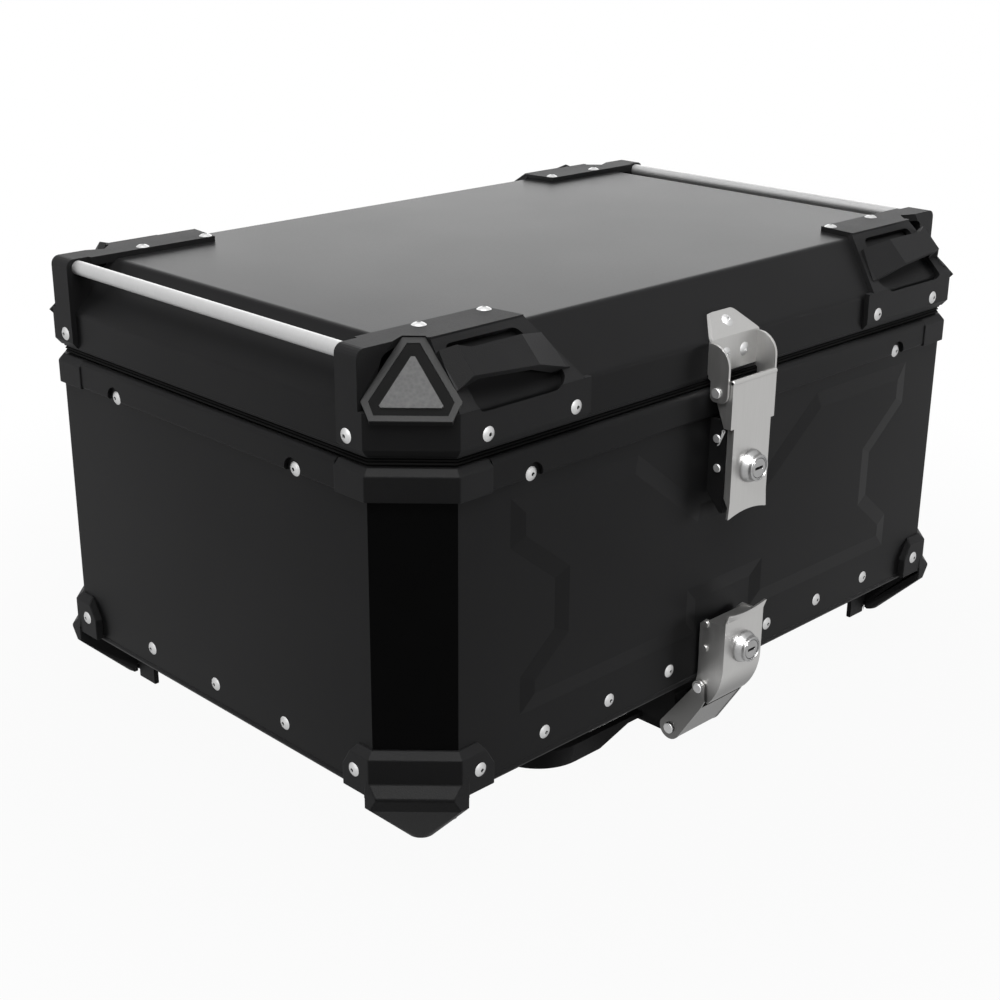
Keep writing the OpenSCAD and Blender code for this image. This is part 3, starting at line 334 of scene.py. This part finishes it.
def coat_finish(colours):
    """Matte powder coat: fine orange peel, with soft patches of sheen."""
    finish = Finish("black_coat", {"Specular IOR Level": 0.03})
    peel = finish.noise(900.0)
    patches = finish.noise(7.0, 3.0)
    tone = finish.blend(patches, tuple(colours.coat), shade(colours.coat, 1.35))
    rough = 0.28 + 0.06 * patches + 0.05 * peel
    return finish.feed(Base_Color=tone, Roughness=rough, Normal=finish.bump(peel, 0.00008, 0.4))


def shaded_corner_finish(colours):
    """Coated sheet of the corners, a deeper black than the walls beside it as painted shade, since the corners catch
    less light.
    """
    finish = Finish("shaded_corner_coat", {"Specular IOR Level": 0.02})
    clouds = finish.noise(40.0)
    # Painted shade: the coat's colour cut to between 0.2 and 0.28 of it
    return finish.follow(clouds, shade(colours.coat, 0.28), 0.714, rough=0.3, spread=0.1)


def plastic_finish(colours):
    """Moulded plastic with a fine leather grain."""
    finish = Finish("black_plastic", {"Specular IOR Level": 0.04})
    grain = finish.cells(1100.0)
    patches = finish.noise(25.0, 3.0)
    tone = finish.blend(patches, tuple(colours.plastic), shade(colours.plastic, 1.4))
    rough = 0.46 + 0.1 * patches + 0.06 * grain
    return finish.feed(Base_Color=tone, Roughness=rough, Normal=finish.bump(grain, 0.00012, 0.4))


def steel_finish(colours):
    """Stainless sheet brushed along the height of the latches, with painted shade low down in place of their dark
    reflection.
    """
    finish = Finish("brushed_stainless", {"Metallic": 1.0})
    strokes = finish.noise(1.0, 3.0, 0.6, finish.stretched((2600.0, 900.0, 45.0)))
    patches = finish.noise(18.0)
    height = finish.node("ShaderNodeSeparateXYZ", None, {"Vector": finish.place}, "Z")
    # Painted shade: below a wandering level the steel darkens to a quarter of its tone, standing in for a dark
    # reflection
    unshaded = finish.smooth(height + PAINTED_SHADE_WAVE * patches, PAINTED_SHADE_LOW, PAINTED_SHADE_HIGH)
    brushed = finish.blend(strokes, shade(colours.steel, 0.82), tuple(colours.steel))
    tone = finish.blend(unshaded, shade(colours.steel, 0.24), brushed)
    rough = 0.3 + 0.12 * strokes + 0.06 * patches
    return finish.feed(Base_Color=tone, Roughness=rough, Normal=finish.bump(strokes, 0.00006, 0.5))


def bright_finish(colours):
    """Satin rivet and pin steel with light tooling marks."""
    finish = Finish("bright_steel", {"Metallic": 1.0})
    marks = finish.noise(1500.0)
    return finish.follow(marks, colours.bright, 0.75, rough=0.42, spread=0.14)


def chrome_finish(colours):
    """Satin lock metal, barely clouded."""
    finish = Finish("lock_chrome", {"Metallic": 1.0})
    clouds = finish.noise(220.0)
    return finish.follow(clouds, colours.chrome, 0.73, rough=0.28, spread=0.12)


def rod_finish(colours):
    """Satin aluminium rod with turning marks around it."""
    finish = Finish("satin_rod", {"Metallic": 0.5})
    turns = finish.noise(1.0, vector=finish.stretched((60.0, 1800.0, 60.0)))
    relief = finish.bump(turns, 0.00004, 0.4)
    return finish.follow(turns, colours.rod, 0.85, rough=0.4, spread=0.12, Normal=relief)


def pan_finish(colours):
    """Bare aluminium sheet of the pan with mill lines."""
    finish = Finish("mill_aluminium", {"Metallic": 1.0})
    mill_lines = finish.noise(1.0, 3.0, 0.6, finish.stretched((20.0, 900.0, 20.0)))
    return finish.follow(mill_lines, colours.pan, 0.73, rough=0.6, spread=0.15)


def rubber_finish(colours):
    """Soft black rubber, which also paints the shade in the rivet dimples and screw sockets."""
    finish = Finish("soft_rubber", {"Specular IOR Level": 0.05})
    bloom = finish.noise(60.0, 3.0)
    return finish.follow(bloom, colours.rubber, 0.5, rough=0.7, spread=0.15)


def reflector_frame_finish(colours):
    """Grey moulded frame of the reflectors."""
    finish = Finish("reflector_frame", {"Specular IOR Level": 0.03})
    grain = finish.noise(700.0)
    return finish.follow(grain, colours.reflector_frame, 0.786, rough=0.45, spread=0.1)


def reflector_film_finish(colours):
    """Grey prism film of the reflectors."""
    finish = Finish("reflector_lens", {"Specular IOR Level": 0.03})
    prisms = finish.cells(420.0)
    return finish.follow(prisms, colours.reflector_film, 0.727, rough=0.3, spread=0.2)


SLOT_FINISHES = {
    "black_coat": coat_finish,
    "shaded_corner_coat": shaded_corner_finish,
    "pan_aluminium": pan_finish,
    "black_plastic": plastic_finish,
    "stainless": steel_finish,
    "pin_steel": bright_finish,
    "rivet_steel": bright_finish,
    "lock_chrome": chrome_finish,
    "rod_aluminium": rod_finish,
    "rubber": rubber_finish,
    "reflector_frame": reflector_frame_finish,
    "reflector_lens": reflector_film_finish,
}

# Sub-parts with a finish of their own inside their slot, here the corner panels with their painted shade
OWN_FINISHES = {"corner_panels": "shaded_corner_coat"}

# Sub-parts whose edges stay as they are: sheets with many holes, small turned parts, and the faceted guards and frames
PLAIN_EDGES = (
    "front_panel", "rear_panel", "left_panel", "right_panel", "corner_panels", "bottom_pan",
    "panel_rivets", "foot_rivets", "rim_screws", "guard_screws", "bracket_screws", "left_rod", "right_rod",
    "reflector_frames", "guard_front_left", "guard_front_right", "guard_rear_left", "guard_rear_right")

# Sub-parts with rounder edges than the rest, and the widths of the roundings
LATCH_SHEETS = ("upper_hasp", "lower_hasp", "lower_link", "lid_bracket")
CORNER_MOULDINGS = ("foot_front_left", "foot_front_right", "foot_rear_left", "foot_rear_right", "rim_corners")
EDGE_ROUNDING, SHEET_ROUNDING, MOULDED_ROUNDING = 0.6 * MM, 0.85 * MM, 0.8 * MM
ROUNDING_STEPS = 3

# Gaps below which points are joined, and angles that count as sharp or as flat
WELD_GAP, MERGE_GAP = 0.01 * MM, 0.001 * MM
SHARP_ANGLE = math.radians(30)
FLAT_ANGLE = math.radians(0.5)


def finish_of(slot):
    """The material of a slot of the record, or of a finish in OWN_FINISHES, made when it is first asked for."""
    name = "finish_" + slot
    if name not in bpy.data.materials:
        material = SLOT_FINISHES[slot](bpy.context.scene.top_case_finishes)
        material.name = name
    return bpy.data.materials[name]


class TOPCASE_OT_finishes(bpy.types.Operator):
    """Give every packed sub-part its finish and soften its edges"""
    bl_idname = "topcase.finishes"
    bl_label = "Finishes"

    def execute(self, context):
        for part in frame["record"]["subparts"]:
            node = frame["nodes"][part["node"]]
            node.data.materials.clear()
            node.data.materials.append(finish_of(OWN_FINISHES.get(part["node"], part["material_slot"])))
            if part["node"] not in PLAIN_EDGES:
                soften_edges(node)
        return {"FINISHED"}


def soften_edges(node):
    """Joins the loose triangles into flat faces and rounds the sharp edges, as modifiers."""
    moulded = node.name in CORNER_MOULDINGS
    sheet = node.name in LATCH_SHEETS
    weld = node.modifiers.new("joined", "WELD")
    weld.merge_threshold = WELD_GAP
    flat = node.modifiers.new("flat_faces", "DECIMATE")
    flat.decimate_type = "DISSOLVE"
    flat.angle_limit = FLAT_ANGLE
    bevel = node.modifiers.new("rounded", "BEVEL")
    bevel.width = MOULDED_ROUNDING if moulded else SHEET_ROUNDING if sheet else EDGE_ROUNDING
    bevel.use_clamp_overlap = not moulded
    bevel.segments = ROUNDING_STEPS
    bevel.limit_method = "ANGLE"
    bevel.angle_limit = SHARP_ANGLE
    bevel.harden_normals = True


def grid_faces(rows, columns, wrap_rows=False, wrap_columns=False):
    """Quads between neighbouring points of a grid, numbered row by row."""
    row = np.arange(rows if wrap_rows else rows - 1)
    column = np.arange(columns if wrap_columns else columns - 1)
    i, j = np.meshgrid(row, column, indexing="ij")
    below, beside = (i + 1) % rows, (j + 1) % columns
    corners = (i * columns + j, below * columns + j, below * columns + beside, i * columns + beside)
    return np.stack(corners, axis=-1).reshape(-1, 4)


def add_piece(name, sheets, body, slot, replaced=()):
    """One smooth object from sheets of (points in millimetres, quads), riding on a body."""
    counts = np.cumsum([0] + [points.reshape(-1, 3).shape[0] for points, quads in sheets])
    points = np.concatenate([points.reshape(-1, 3) for points, quads in sheets]) * MM
    quads = np.concatenate([quads + start for (_, quads), start in zip(sheets, counts)])
    mesh = bpy.data.meshes.new(name)
    mesh.from_pydata(points.tolist(), [], quads.tolist())
    work = bmesh.new()
    work.from_mesh(mesh)
    bmesh.ops.remove_doubles(work, verts=work.verts, dist=MERGE_GAP)
    bmesh.ops.recalc_face_normals(work, faces=work.faces)
    work.to_mesh(mesh)
    work.free()
    if not mesh.polygons:
        raise RuntimeError(f"{name} has no faces")
    mesh.shade_smooth()
    mesh.set_sharp_from_angle(angle=SHARP_ANGLE)
    mesh.materials.append(finish_of(slot))
    piece = bpy.data.objects.new(name, mesh)
    bpy.context.scene.collection.objects.link(piece)
    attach(piece, body)
    if replaced:
        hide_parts(*replaced)


def wall_outline(offset):
    """Eight corners of the case's outline, every edge moved out by an offset.

    The cut of the corners grows by (2 - root of 2) * offset, which moves their slanted edges out by the offset too.
    """
    offset = np.asarray(offset, dtype=float)[..., None]
    width, depth = HALF_WIDTH + offset, HALF_DEPTH + offset
    cut = CORNER_CUT + offset * (2.0 - math.sqrt(2.0))
    sign_x = np.array([1, 1, 1, 1, -1, -1, -1, -1])
    sign_y = np.array([-1, -1, 1, 1, 1, 1, -1, -1])
    on_side = np.array([0, 1, 1, 0, 0, 1, 1, 0])
    x = sign_x * np.where(on_side, width, width - cut)
    y = sign_y * np.where(on_side, depth - cut, depth)
    return np.stack([x, y], axis=-1)


def around_walls(offsets, levels):
    """A closed section of (offset, level) carried around the outline of the case."""
    corners = wall_outline(offsets)
    height = np.broadcast_to(np.asarray(levels, dtype=float)[:, None, None], corners.shape[:2] + (1,))
    points = np.concatenate([corners, height], axis=-1)
    return points, grid_faces(*points.shape[:2], True, True)


def full_turn(steps):
    """Even angles around one turn."""
    return np.linspace(0.0, 2.0 * math.pi, steps, endpoint=False)


def turned(radii, heights, steps=48):
    """A section of (radius, height) turned about the Z axis: (r cos a, r sin a, h)."""
    angle = full_turn(steps)
    radii, heights = (np.asarray(values, dtype=float)[:, None] for values in (radii, heights))
    points = np.stack([radii * np.cos(angle), radii * np.sin(angle), heights + 0.0 * angle], axis=-1)
    return points, grid_faces(points.shape[0], steps, False, True)


def placed(sheet, turn, place):
    """A sheet turned by a rotation matrix and then moved."""
    points, quads = sheet
    return points @ np.array(turn).T + np.array(place, dtype=float), quads


def tube(path, radius, steps=12):
    """A round tube along an open path, closed by flat ends.

    Point = path + radius * (cos a * side + sin a * up), where side is across the path and the X axis, and up is X.
    """
    path = np.asarray(path, dtype=float)
    along = np.gradient(path, axis=0)
    along /= np.linalg.norm(along, axis=1, keepdims=True)
    up = np.broadcast_to([1.0, 0.0, 0.0], along.shape)
    side = np.cross(up, along)
    angle = full_turn(steps)[:, None]
    size = np.full(len(path) + 2, radius)
    size[[0, -1]] = 0.0
    path, side, up = (np.concatenate([a[:1], a, a[-1:]]) for a in (path, side, up))
    ring = np.cos(angle) * side[:, None, :] + np.sin(angle) * up[:, None, :]
    points = path[:, None, :] + size[:, None, None] * ring
    return points, grid_faces(points.shape[0], steps, False, True)


def hem_section(height):
    """Closed section of the hem, an oval of (middle + half thickness * cos a, middle + half height * sin a)."""
    turn = full_turn(20)
    half = height / 2
    return HEM_MIDDLE + HEM_HALF * np.cos(turn), WALL_FOOT + half - HEM_DROP + half * np.sin(turn)


class TOPCASE_OT_hem(bpy.types.Operator):
    """Roll a hem along the foot of the walls"""
    bl_idname = "topcase.hem"
    bl_label = "Rolled hem"

    def execute(self, context):
        section = hem_section(context.scene.top_case_pieces.hem_height / MM)
        add_piece("rolled_hem", [around_walls(*section)], "case", "black_coat")
        return {"FINISHED"}


def seal_section(depth):
    """Closed section of the seal as (offset, level), with two lips on its face.

    At the share t of the seal's height, its face stands back by depth * (1 - |sin 2 pi t| ^ roundness).
    """
    share = np.linspace(0.0, 1.0, 25)
    face = SEAL_FACE - depth * (1.0 - np.abs(np.sin(2.0 * math.pi * share)) ** LIP_ROUNDNESS)
    back = SEAL_BACK + np.array([SEAL_CORNER, 0.0, 0.0, SEAL_CORNER])
    levels = RIM_TOP + SEAL_GAP + SEAL_HEIGHT * np.concatenate([share, [1.0, 0.92, 0.08, 0.0]])
    return np.concatenate([face, back]), levels


class TOPCASE_OT_seal(bpy.types.Operator):
    """Lay a seal with two lips around the lid"""
    bl_idname = "topcase.seal"
    bl_label = "Lid seal"

    def execute(self, context):
        section = seal_section(context.scene.top_case_pieces.lip_depth / MM)
        add_piece("seal_lips", [around_walls(*section)], "lid", "rubber", ["lid_seal"])
        return {"FINISHED"}


def reflector_bed():
    """Dark bed of one reflector: a ruled band that slopes from the frame's hole down to the edge of the film."""
    rows = [(FRAME_HOLE, BED_TOP), (BED_HOLE, BED_EDGE), (BED_HOLE, BED_FOOT), (FRAME_HOLE, BED_FOOT)]
    points = np.stack([np.insert(np.array(outline), 2, level, axis=1) for outline, level in rows])
    return points, grid_faces(*points.shape[:2], True, True)


def reflector_film(pitch, depth):
    """Face and back of one reflector, on a grid of u across from -1 to 1 and v up from 0 to 1.

    x = u * half width at v, and the face stands at the edge ramp times (rise + depth * the mean of three triangle
    waves, which run at 60 degrees to each other and meet in the corners of the prisms).
    """
    u = np.concatenate([[-1.0], np.linspace(RAMP_ACROSS - 1.0, 1.0 - RAMP_ACROSS, 73), [1.0]])
    v = np.concatenate([[0.0], np.linspace(RAMP_UP, 1.0 - RAMP_UP, 79), [1.0]])
    v, u = np.meshgrid(v, u, indexing="ij")
    y = FILM_LEVELS[0] + (FILM_LEVELS[-1] - FILM_LEVELS[0]) * v
    x = u * np.interp(y, FILM_LEVELS, FILM_HALVES)
    waves = [np.abs((x * math.cos(a) + y * math.sin(a)) / pitch % 1.0 - 0.5) * 2.0 for a in WAVE_TURNS]
    edge = np.minimum.reduce([np.ones_like(u), (1.0 - np.abs(u)) / RAMP_ACROSS, v / RAMP_UP, (1.0 - v) / RAMP_UP])
    face = np.stack([x, y, edge * (FILM_RISE + depth * np.mean(waves, axis=0))], axis=-1)
    back = np.stack([x, y, np.zeros_like(x)], axis=-1)
    quads = grid_faces(*x.shape)
    return [(face, quads), (back, quads[:, ::-1])]


def on_facets(sheets):
    """Sheets drawn flat, with y up the facet, laid on the facets of all four corners."""
    turn = np.array(Matrix.Rotation(FACET_TURN, 3, "Z") @ Matrix.Rotation(FACET_LEAN, 3, "X"))
    corner = [placed(sheet, turn, FACET_PLACE) for sheet in sheets]
    signs = [np.array([sx, sy, 1.0]) for sx in (1, -1) for sy in (1, -1)]
    return [(points * sign, quads) for points, quads in corner for sign in signs]


class TOPCASE_OT_reflectors(bpy.types.Operator):
    """Set a prism reflector into each corner guard"""
    bl_idname = "topcase.reflectors"
    bl_label = "Reflectors"

    def execute(self, context):
        sizes = context.scene.top_case_pieces
        film = reflector_film(sizes.prism_pitch / MM, sizes.prism_depth / MM)
        add_piece("prism_reflectors", on_facets(film), "lid", "reflector_lens", ["reflector_lenses"])
        add_piece("reflector_beds", on_facets([reflector_bed()]), "lid", "rubber")
        return {"FINISHED"}


def ribbed_pad(pitch):
    """A rubber pad turned about its middle, whose top drops by half a rib * (1 - cos(2 pi * radius / pitch))."""
    radius = np.linspace(0.0, PAD_RADIUS - PAD_EDGE, 110)
    top = PAD_HEIGHT - RIB_HALF * (1.0 - np.cos(2.0 * math.pi * radius / pitch))
    shoulder = np.array([PAD_RADIUS, PAD_HEIGHT]) + PAD_SHOULDER
    foot = [[PAD_RADIUS, PAD_EDGE], [PAD_RADIUS - PAD_EDGE, 0.0], [0.0, 0.0]]
    section = np.concatenate([np.column_stack([radius, top]), shoulder, foot])
    return turned(*section.T)


class TOPCASE_OT_pads(bpy.types.Operator):
    """Put a ribbed rubber pad on each post of the carrier"""
    bl_idname = "topcase.pads"
    bl_label = "Ribbed pads"

    def execute(self, context):
        pad = ribbed_pad(context.scene.top_case_pieces.rib_pitch / MM)
        sheets = [placed(pad, np.eye(3), (x, y, WALL_FOOT - PAD_HEIGHT)) for x, y in PAD_PLACES]
        add_piece("ribbed_pads", sheets, "case", "rubber", ["support_pads"])
        return {"FINISHED"}


def screw_head():
    """Domed head 7 mm wide with a round recess: a dome of revolution whose middle drops by 1 mm."""
    radii = [0.0, 1.25, 1.4, 2.0, 2.6, 3.1, 3.4, 3.5, 3.5, 0.0]
    heights = [0.8, 0.8, 1.75, 1.68, 1.5, 1.2, 0.8, 0.4, -0.2, -0.2]
    return turned(radii, heights, 32)


class TOPCASE_OT_hinge_screws(bpy.types.Operator):
    """Screw the hinge leaves to the rim and to the lid"""
    bl_idname = "topcase.hinge_screws"
    bl_label = "Hinge screws"

    def execute(self, context):
        back = np.array(Matrix.Rotation(math.radians(-90), 3, "X"))
        rim_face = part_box("rear_rail")[1][1] / MM
        rows = (("hinge_lid_screws", "lid", HALF_DEPTH + LID_LEAF, LID_LEAF_LEVEL),
                ("hinge_rim_screws", "case", rim_face + RIM_LEAF, RIM_LEAF_LEVEL))
        for name, body, face, level in rows:
            sheets = [placed(screw_head(), back, (place + side * HINGE_SPREAD, face, level))
                      for place in HINGE_PLACES for side in (-1, 1)]
            add_piece(name, sheets, body, "rivet_steel")
        return {"FINISHED"}


def rivet_core():
    """Low dome 2.5 mm wide, a section turned about its middle."""
    return turned([0.0, 0.5, 0.9, 1.15, 1.25, 1.25, 0.0], [0.35, 0.32, 0.24, 0.12, 0.0, -0.1, -0.1], 20)


def wall_cores(places):
    """A core at each place (distance from the middle, wall, height of the seat, level) and at its mirror images."""
    sheets = []
    for middle, wall, seat, level in places:
        front = wall == "front"
        out = (HALF_DEPTH if front else HALF_WIDTH) + seat + CORE_RISE
        for sign in (1, -1):
            turn = Matrix.Rotation(math.radians(90 * sign), 3, "X" if front else "Y")
            for along in sorted({middle, -middle}):
                place = (along, -sign * out, level) if front else (sign * out, along, level)
                sheets.append(placed(rivet_core(), turn, place))
    return sheets


class TOPCASE_OT_rivet_cores(bpy.types.Operator):
    """Set a near-black disc into the dimple of every rivet, where the mandrel broke off, and into the socket of every
    screw, as painted shade of these recesses
    """
    bl_idname = "topcase.rivet_cores"
    bl_label = "Rivet cores"

    def execute(self, context):
        on_strips = [placed(rivet_core(), np.eye(3), (x, y, STRIP_TOP + CORE_RISE)) for x, y in STRIP_SCREWS]
        # Painted shade: near-black rubber discs stand in for the shade inside the rivet dimples and screw sockets
        add_piece("rivet_cores", wall_cores(CASE_CORES), "case", "rubber")
        add_piece("screw_socket_shade", wall_cores(LID_CORES) + on_strips, "lid", "rubber")
        return {"FINISHED"}


def rolled_edge(radius):
    """Upper edge of the upper hasp: a bar along X of points (x, y + r cos a, z + r sin a).

    Its radius r falls a little towards both ends, which r = 0 closes.
    """
    turn = np.linspace(0.0, 2.0 * math.pi, 25)
    ends = np.array([HASP_HALF, HASP_HALF, HASP_HALF - ROLL_END])
    x = LATCH_X + np.concatenate([-ends, ends[::-1]])[:, None] + 0.0 * turn
    size = radius * np.array([0.0, ROLL_TIP, 1.0, 1.0, ROLL_TIP, 0.0])[:, None]
    y, z = HASP_EDGE
    return np.stack([x, y + size * np.cos(turn), z + size * np.sin(turn)], axis=-1), grid_faces(*x.shape)


class TOPCASE_OT_hasp_roll(bpy.types.Operator):
    """Roll the upper edge of the upper hasp"""
    bl_idname = "topcase.hasp_roll"
    bl_label = "Hasp roll"

    def execute(self, context):
        edge = rolled_edge(context.scene.top_case_pieces.hasp_roll / MM)
        add_piece("hasp_roll", [edge], "upper_hasp", "stainless")
        return {"FINISHED"}


def lock_collar():
    """Domed collar of a lock: a bell-shaped section with a rounded rim, turned about the lock's own axis.

    Inside the rim the face drops to a flat ring around the bore.
    """
    bell = np.array([[0.0, 0.0], [2.2, 0.0], [2.4, 1.0], [2.25, 1.7], [2.0, 2.4], [1.55, 3.3], [1.0, 4.2],
                     [0.55, 4.85], [0.2, 5.4], [0.05, 5.8], [0.0, 6.2]])
    rim = np.array([[0.0, -0.8], [-0.08, -0.4], [-0.3, -0.12], [-0.6, 0.0], [-1.0, 0.0], [-1.2, -0.1],
                    [-1.3, -0.3], [-1.35, -0.6]])
    radii = np.concatenate([[LOCK_BORE], LOCK_RADIUS + bell[:, 0], LOCK_RADIUS + rim[:, 0], [LOCK_BORE, LOCK_BORE]])
    heights = np.concatenate([[0.0], bell[:, 1], LOCK_LENGTH + rim[:, 1], [LOCK_LENGTH - LOCK_STEP, 0.0]])
    return turned(radii, heights, 64)


class TOPCASE_OT_lock_collars(bpy.types.Operator):
    """Put a domed collar with a raised rim around the key face of each lock"""
    bl_idname = "topcase.lock_collars"
    bl_label = "Lock collars"

    def execute(self, context):
        front = np.array(Matrix.Rotation(math.radians(90), 3, "X"))
        for name, (y, z) in LOCK_PLACES.items():
            sheets = [placed(lock_collar(), front, (LATCH_X, y, z))]
            add_piece(f"{name}_lock_collar", sheets, f"{name}_hasp", "lock_chrome", [f"{name}_lock_barrel"])
        return {"FINISHED"}


def spring_path(x):
    """Path of a catch spring in the plane of x: its tail, half a turn about its bend, and its hook on the pin."""
    turn = np.radians(np.linspace(330.0, 150.0, 13))
    bend = np.array(SPRING_BEND) - BEND_RADIUS * np.stack([np.cos(turn), np.sin(turn)], axis=-1)
    path = np.array(KEEPER_PIN) + np.concatenate([SPRING_TAIL, bend, SPRING_HEAD])
    return np.insert(path, 0, x, axis=1)


class TOPCASE_OT_springs(bpy.types.Operator):
    """Hook a wire spring on the upper pin at each side of the keeper"""
    bl_idname = "topcase.springs"
    bl_label = "Catch springs"

    def execute(self, context):
        radius = context.scene.top_case_pieces.wire / MM / 2
        out = KEEPER_HALF + radius + SPRING_GAP
        sheets = [tube(spring_path(LATCH_X + side * out), radius) for side in (-1, 1)]
        add_piece("catch_springs", sheets, "case", "pin_steel")
        return {"FINISHED"}


class TOPCASE_OT_studio(bpy.types.Operator):
    """Set up the camera, the floor, the sky and the lamps"""
    bl_idname = "topcase.studio"
    bl_label = "Studio"

    def execute(self, context):
        studio = context.scene.top_case_studio
        context.scene.view_settings.view_transform = "Standard"
        add_camera(context.scene, studio)
        add_floor()
        add_sky(context.scene, studio)
        for name, lamp in SOFTBOXES.items():
            add_softbox(name, *lamp)
        return {"FINISHED"}


def add_camera(scene, studio):
    """Camera turned by its heading, then tilted, then rolled about its own axis."""
    data = bpy.data.cameras.new("camera")
    data.lens = studio.lens
    data.sensor_width = SENSOR_WIDTH
    data.clip_end = VIEW_DEPTH
    camera = bpy.data.objects.new("camera", data)
    turn = Matrix.Rotation(studio.heading, 4, "Z")
    tilt = Matrix.Rotation(studio.pitch, 4, "X")
    roll = Matrix.Rotation(studio.roll, 4, "Z")
    camera.matrix_world = Matrix.Translation(Vector(studio.camera_place)) @ turn @ tilt @ roll
    scene.collection.objects.link(camera)
    scene.camera = camera


def add_floor():
    """Large flat floor, white to the camera and in reflections, softly shaded by the object."""
    mesh = bpy.data.meshes.new("floor")
    corners = [(sx * FLOOR_HALF, sy * FLOOR_HALF, 0.0) for sx, sy in ((-1, -1), (1, -1), (1, 1), (-1, 1))]
    mesh.from_pydata(corners, [], [(0, 1, 2, 3)])
    floor = bpy.data.objects.new("floor", mesh)
    bpy.context.scene.collection.objects.link(floor)
    finish = Finish("pale_floor", {"Base Color": grey(0.15), "Roughness": 0.9, "Specular IOR Level": 0.0})
    white = finish.node("ShaderNodeEmission", None, {"Color": grey(1.0), "Strength": 1.0})
    distance = finish.node("ShaderNodeVectorMath", {"operation": "LENGTH"}, {0: finish.place}, "Value")
    share = finish.smooth(distance, FLOOR_NEAR, FLOOR_FAR, FLOOR_WHITE, 1.0)
    mixed = finish.node("ShaderNodeMixShader", None, {0: share * finish.seen(), 1: finish.surface, 2: white})
    finish.node("ShaderNodeOutputMaterial", {"is_active_output": True}, {"Surface": mixed})
    mesh.materials.append(finish.material)


def add_sky(scene, studio):
    """Soft light from a band on the horizon and from the zenith, in a sky that is white to the camera and in gloss."""
    world = bpy.data.worlds.new("studio_sky")
    scene.world = world
    sky = Nodes(world)
    place = sky.node("ShaderNodeTexCoord", output="Generated")
    height = sky.node("ShaderNodeSeparateXYZ", None, {"Vector": place}, "Z")
    band = sky.smooth(height, HORIZON_LOW, HORIZON_HIGH, HORIZON_LIGHT, 0.0)
    glow = sky.node("ShaderNodeMapRange", None,
                    {"Value": height, "To Min": studio.sky_low, "To Max": studio.sky_high})
    seen = sky.seen()
    strength = seen + (1.0 - seen) * (band + glow)
    light = sky.node("ShaderNodeBackground", None, {"Color": grey(1.0), "Strength": strength})
    sky.node("ShaderNodeOutputWorld", None, {"Surface": light})


def add_softbox(name, place, aim, size, power, mirrored, scattered):
    """Area lamp of a width and height at a place, facing a point, which lights the gloss, the matte or both."""
    data = bpy.data.lights.new(name, "AREA")
    data.shape = "RECTANGLE"
    data.size, data.size_y = size
    data.energy = power
    lamp = bpy.data.objects.new(name, data)
    lamp.location = place
    lamp.rotation_euler = (Vector(aim) - Vector(place)).to_track_quat("-Z", "Y").to_euler()
    lamp.visible_camera = False
    lamp.visible_glossy = mirrored
    lamp.visible_diffuse = scattered
    bpy.context.scene.collection.objects.link(lamp)


class TOPCASE_PT_panel(bpy.types.Panel):
    """Top case dressing steps"""
    bl_label = "Top Case"
    bl_idname = "TOPCASE_PT_panel"
    bl_space_type = "VIEW_3D"
    bl_region_type = "UI"
    bl_category = "Top Case"

    def draw(self, context):
        for step in STEPS:
            self.layout.operator(step.bl_idname)


STEPS = (TOPCASE_OT_finishes, TOPCASE_OT_hem, TOPCASE_OT_seal, TOPCASE_OT_reflectors, TOPCASE_OT_pads,
         TOPCASE_OT_hinge_screws, TOPCASE_OT_rivet_cores, TOPCASE_OT_hasp_roll, TOPCASE_OT_lock_collars,
         TOPCASE_OT_springs, TOPCASE_OT_studio)
CLASSES = (TopCaseFinishes, TopCasePieces, TopCaseStudio) + STEPS + (TOPCASE_PT_panel,)


def register():
    """Adds the classes and their settings to Blender."""
    for cls in CLASSES:
        bpy.utils.register_class(cls)
    bpy.types.Scene.top_case_finishes = bpy.props.PointerProperty(type=TopCaseFinishes)
    bpy.types.Scene.top_case_pieces = bpy.props.PointerProperty(type=TopCasePieces)
    bpy.types.Scene.top_case_studio = bpy.props.PointerProperty(type=TopCaseStudio)


def unregister():
    """Takes the settings and the classes out of Blender again."""
    del bpy.types.Scene.top_case_studio
    del bpy.types.Scene.top_case_pieces
    del bpy.types.Scene.top_case_finishes
    for cls in reversed(CLASSES):
        bpy.utils.unregister_class(cls)


def main():
    """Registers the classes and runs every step."""
    register()
    bpy.ops.topcase.finishes()
    bpy.ops.topcase.hem()
    bpy.ops.topcase.seal()
    bpy.ops.topcase.reflectors()
    bpy.ops.topcase.pads()
    bpy.ops.topcase.hinge_screws()
    bpy.ops.topcase.rivet_cores()
    bpy.ops.topcase.hasp_roll()
    bpy.ops.topcase.lock_collars()
    bpy.ops.topcase.springs()
    bpy.ops.topcase.studio()


if __name__ == "__main__":
    main()
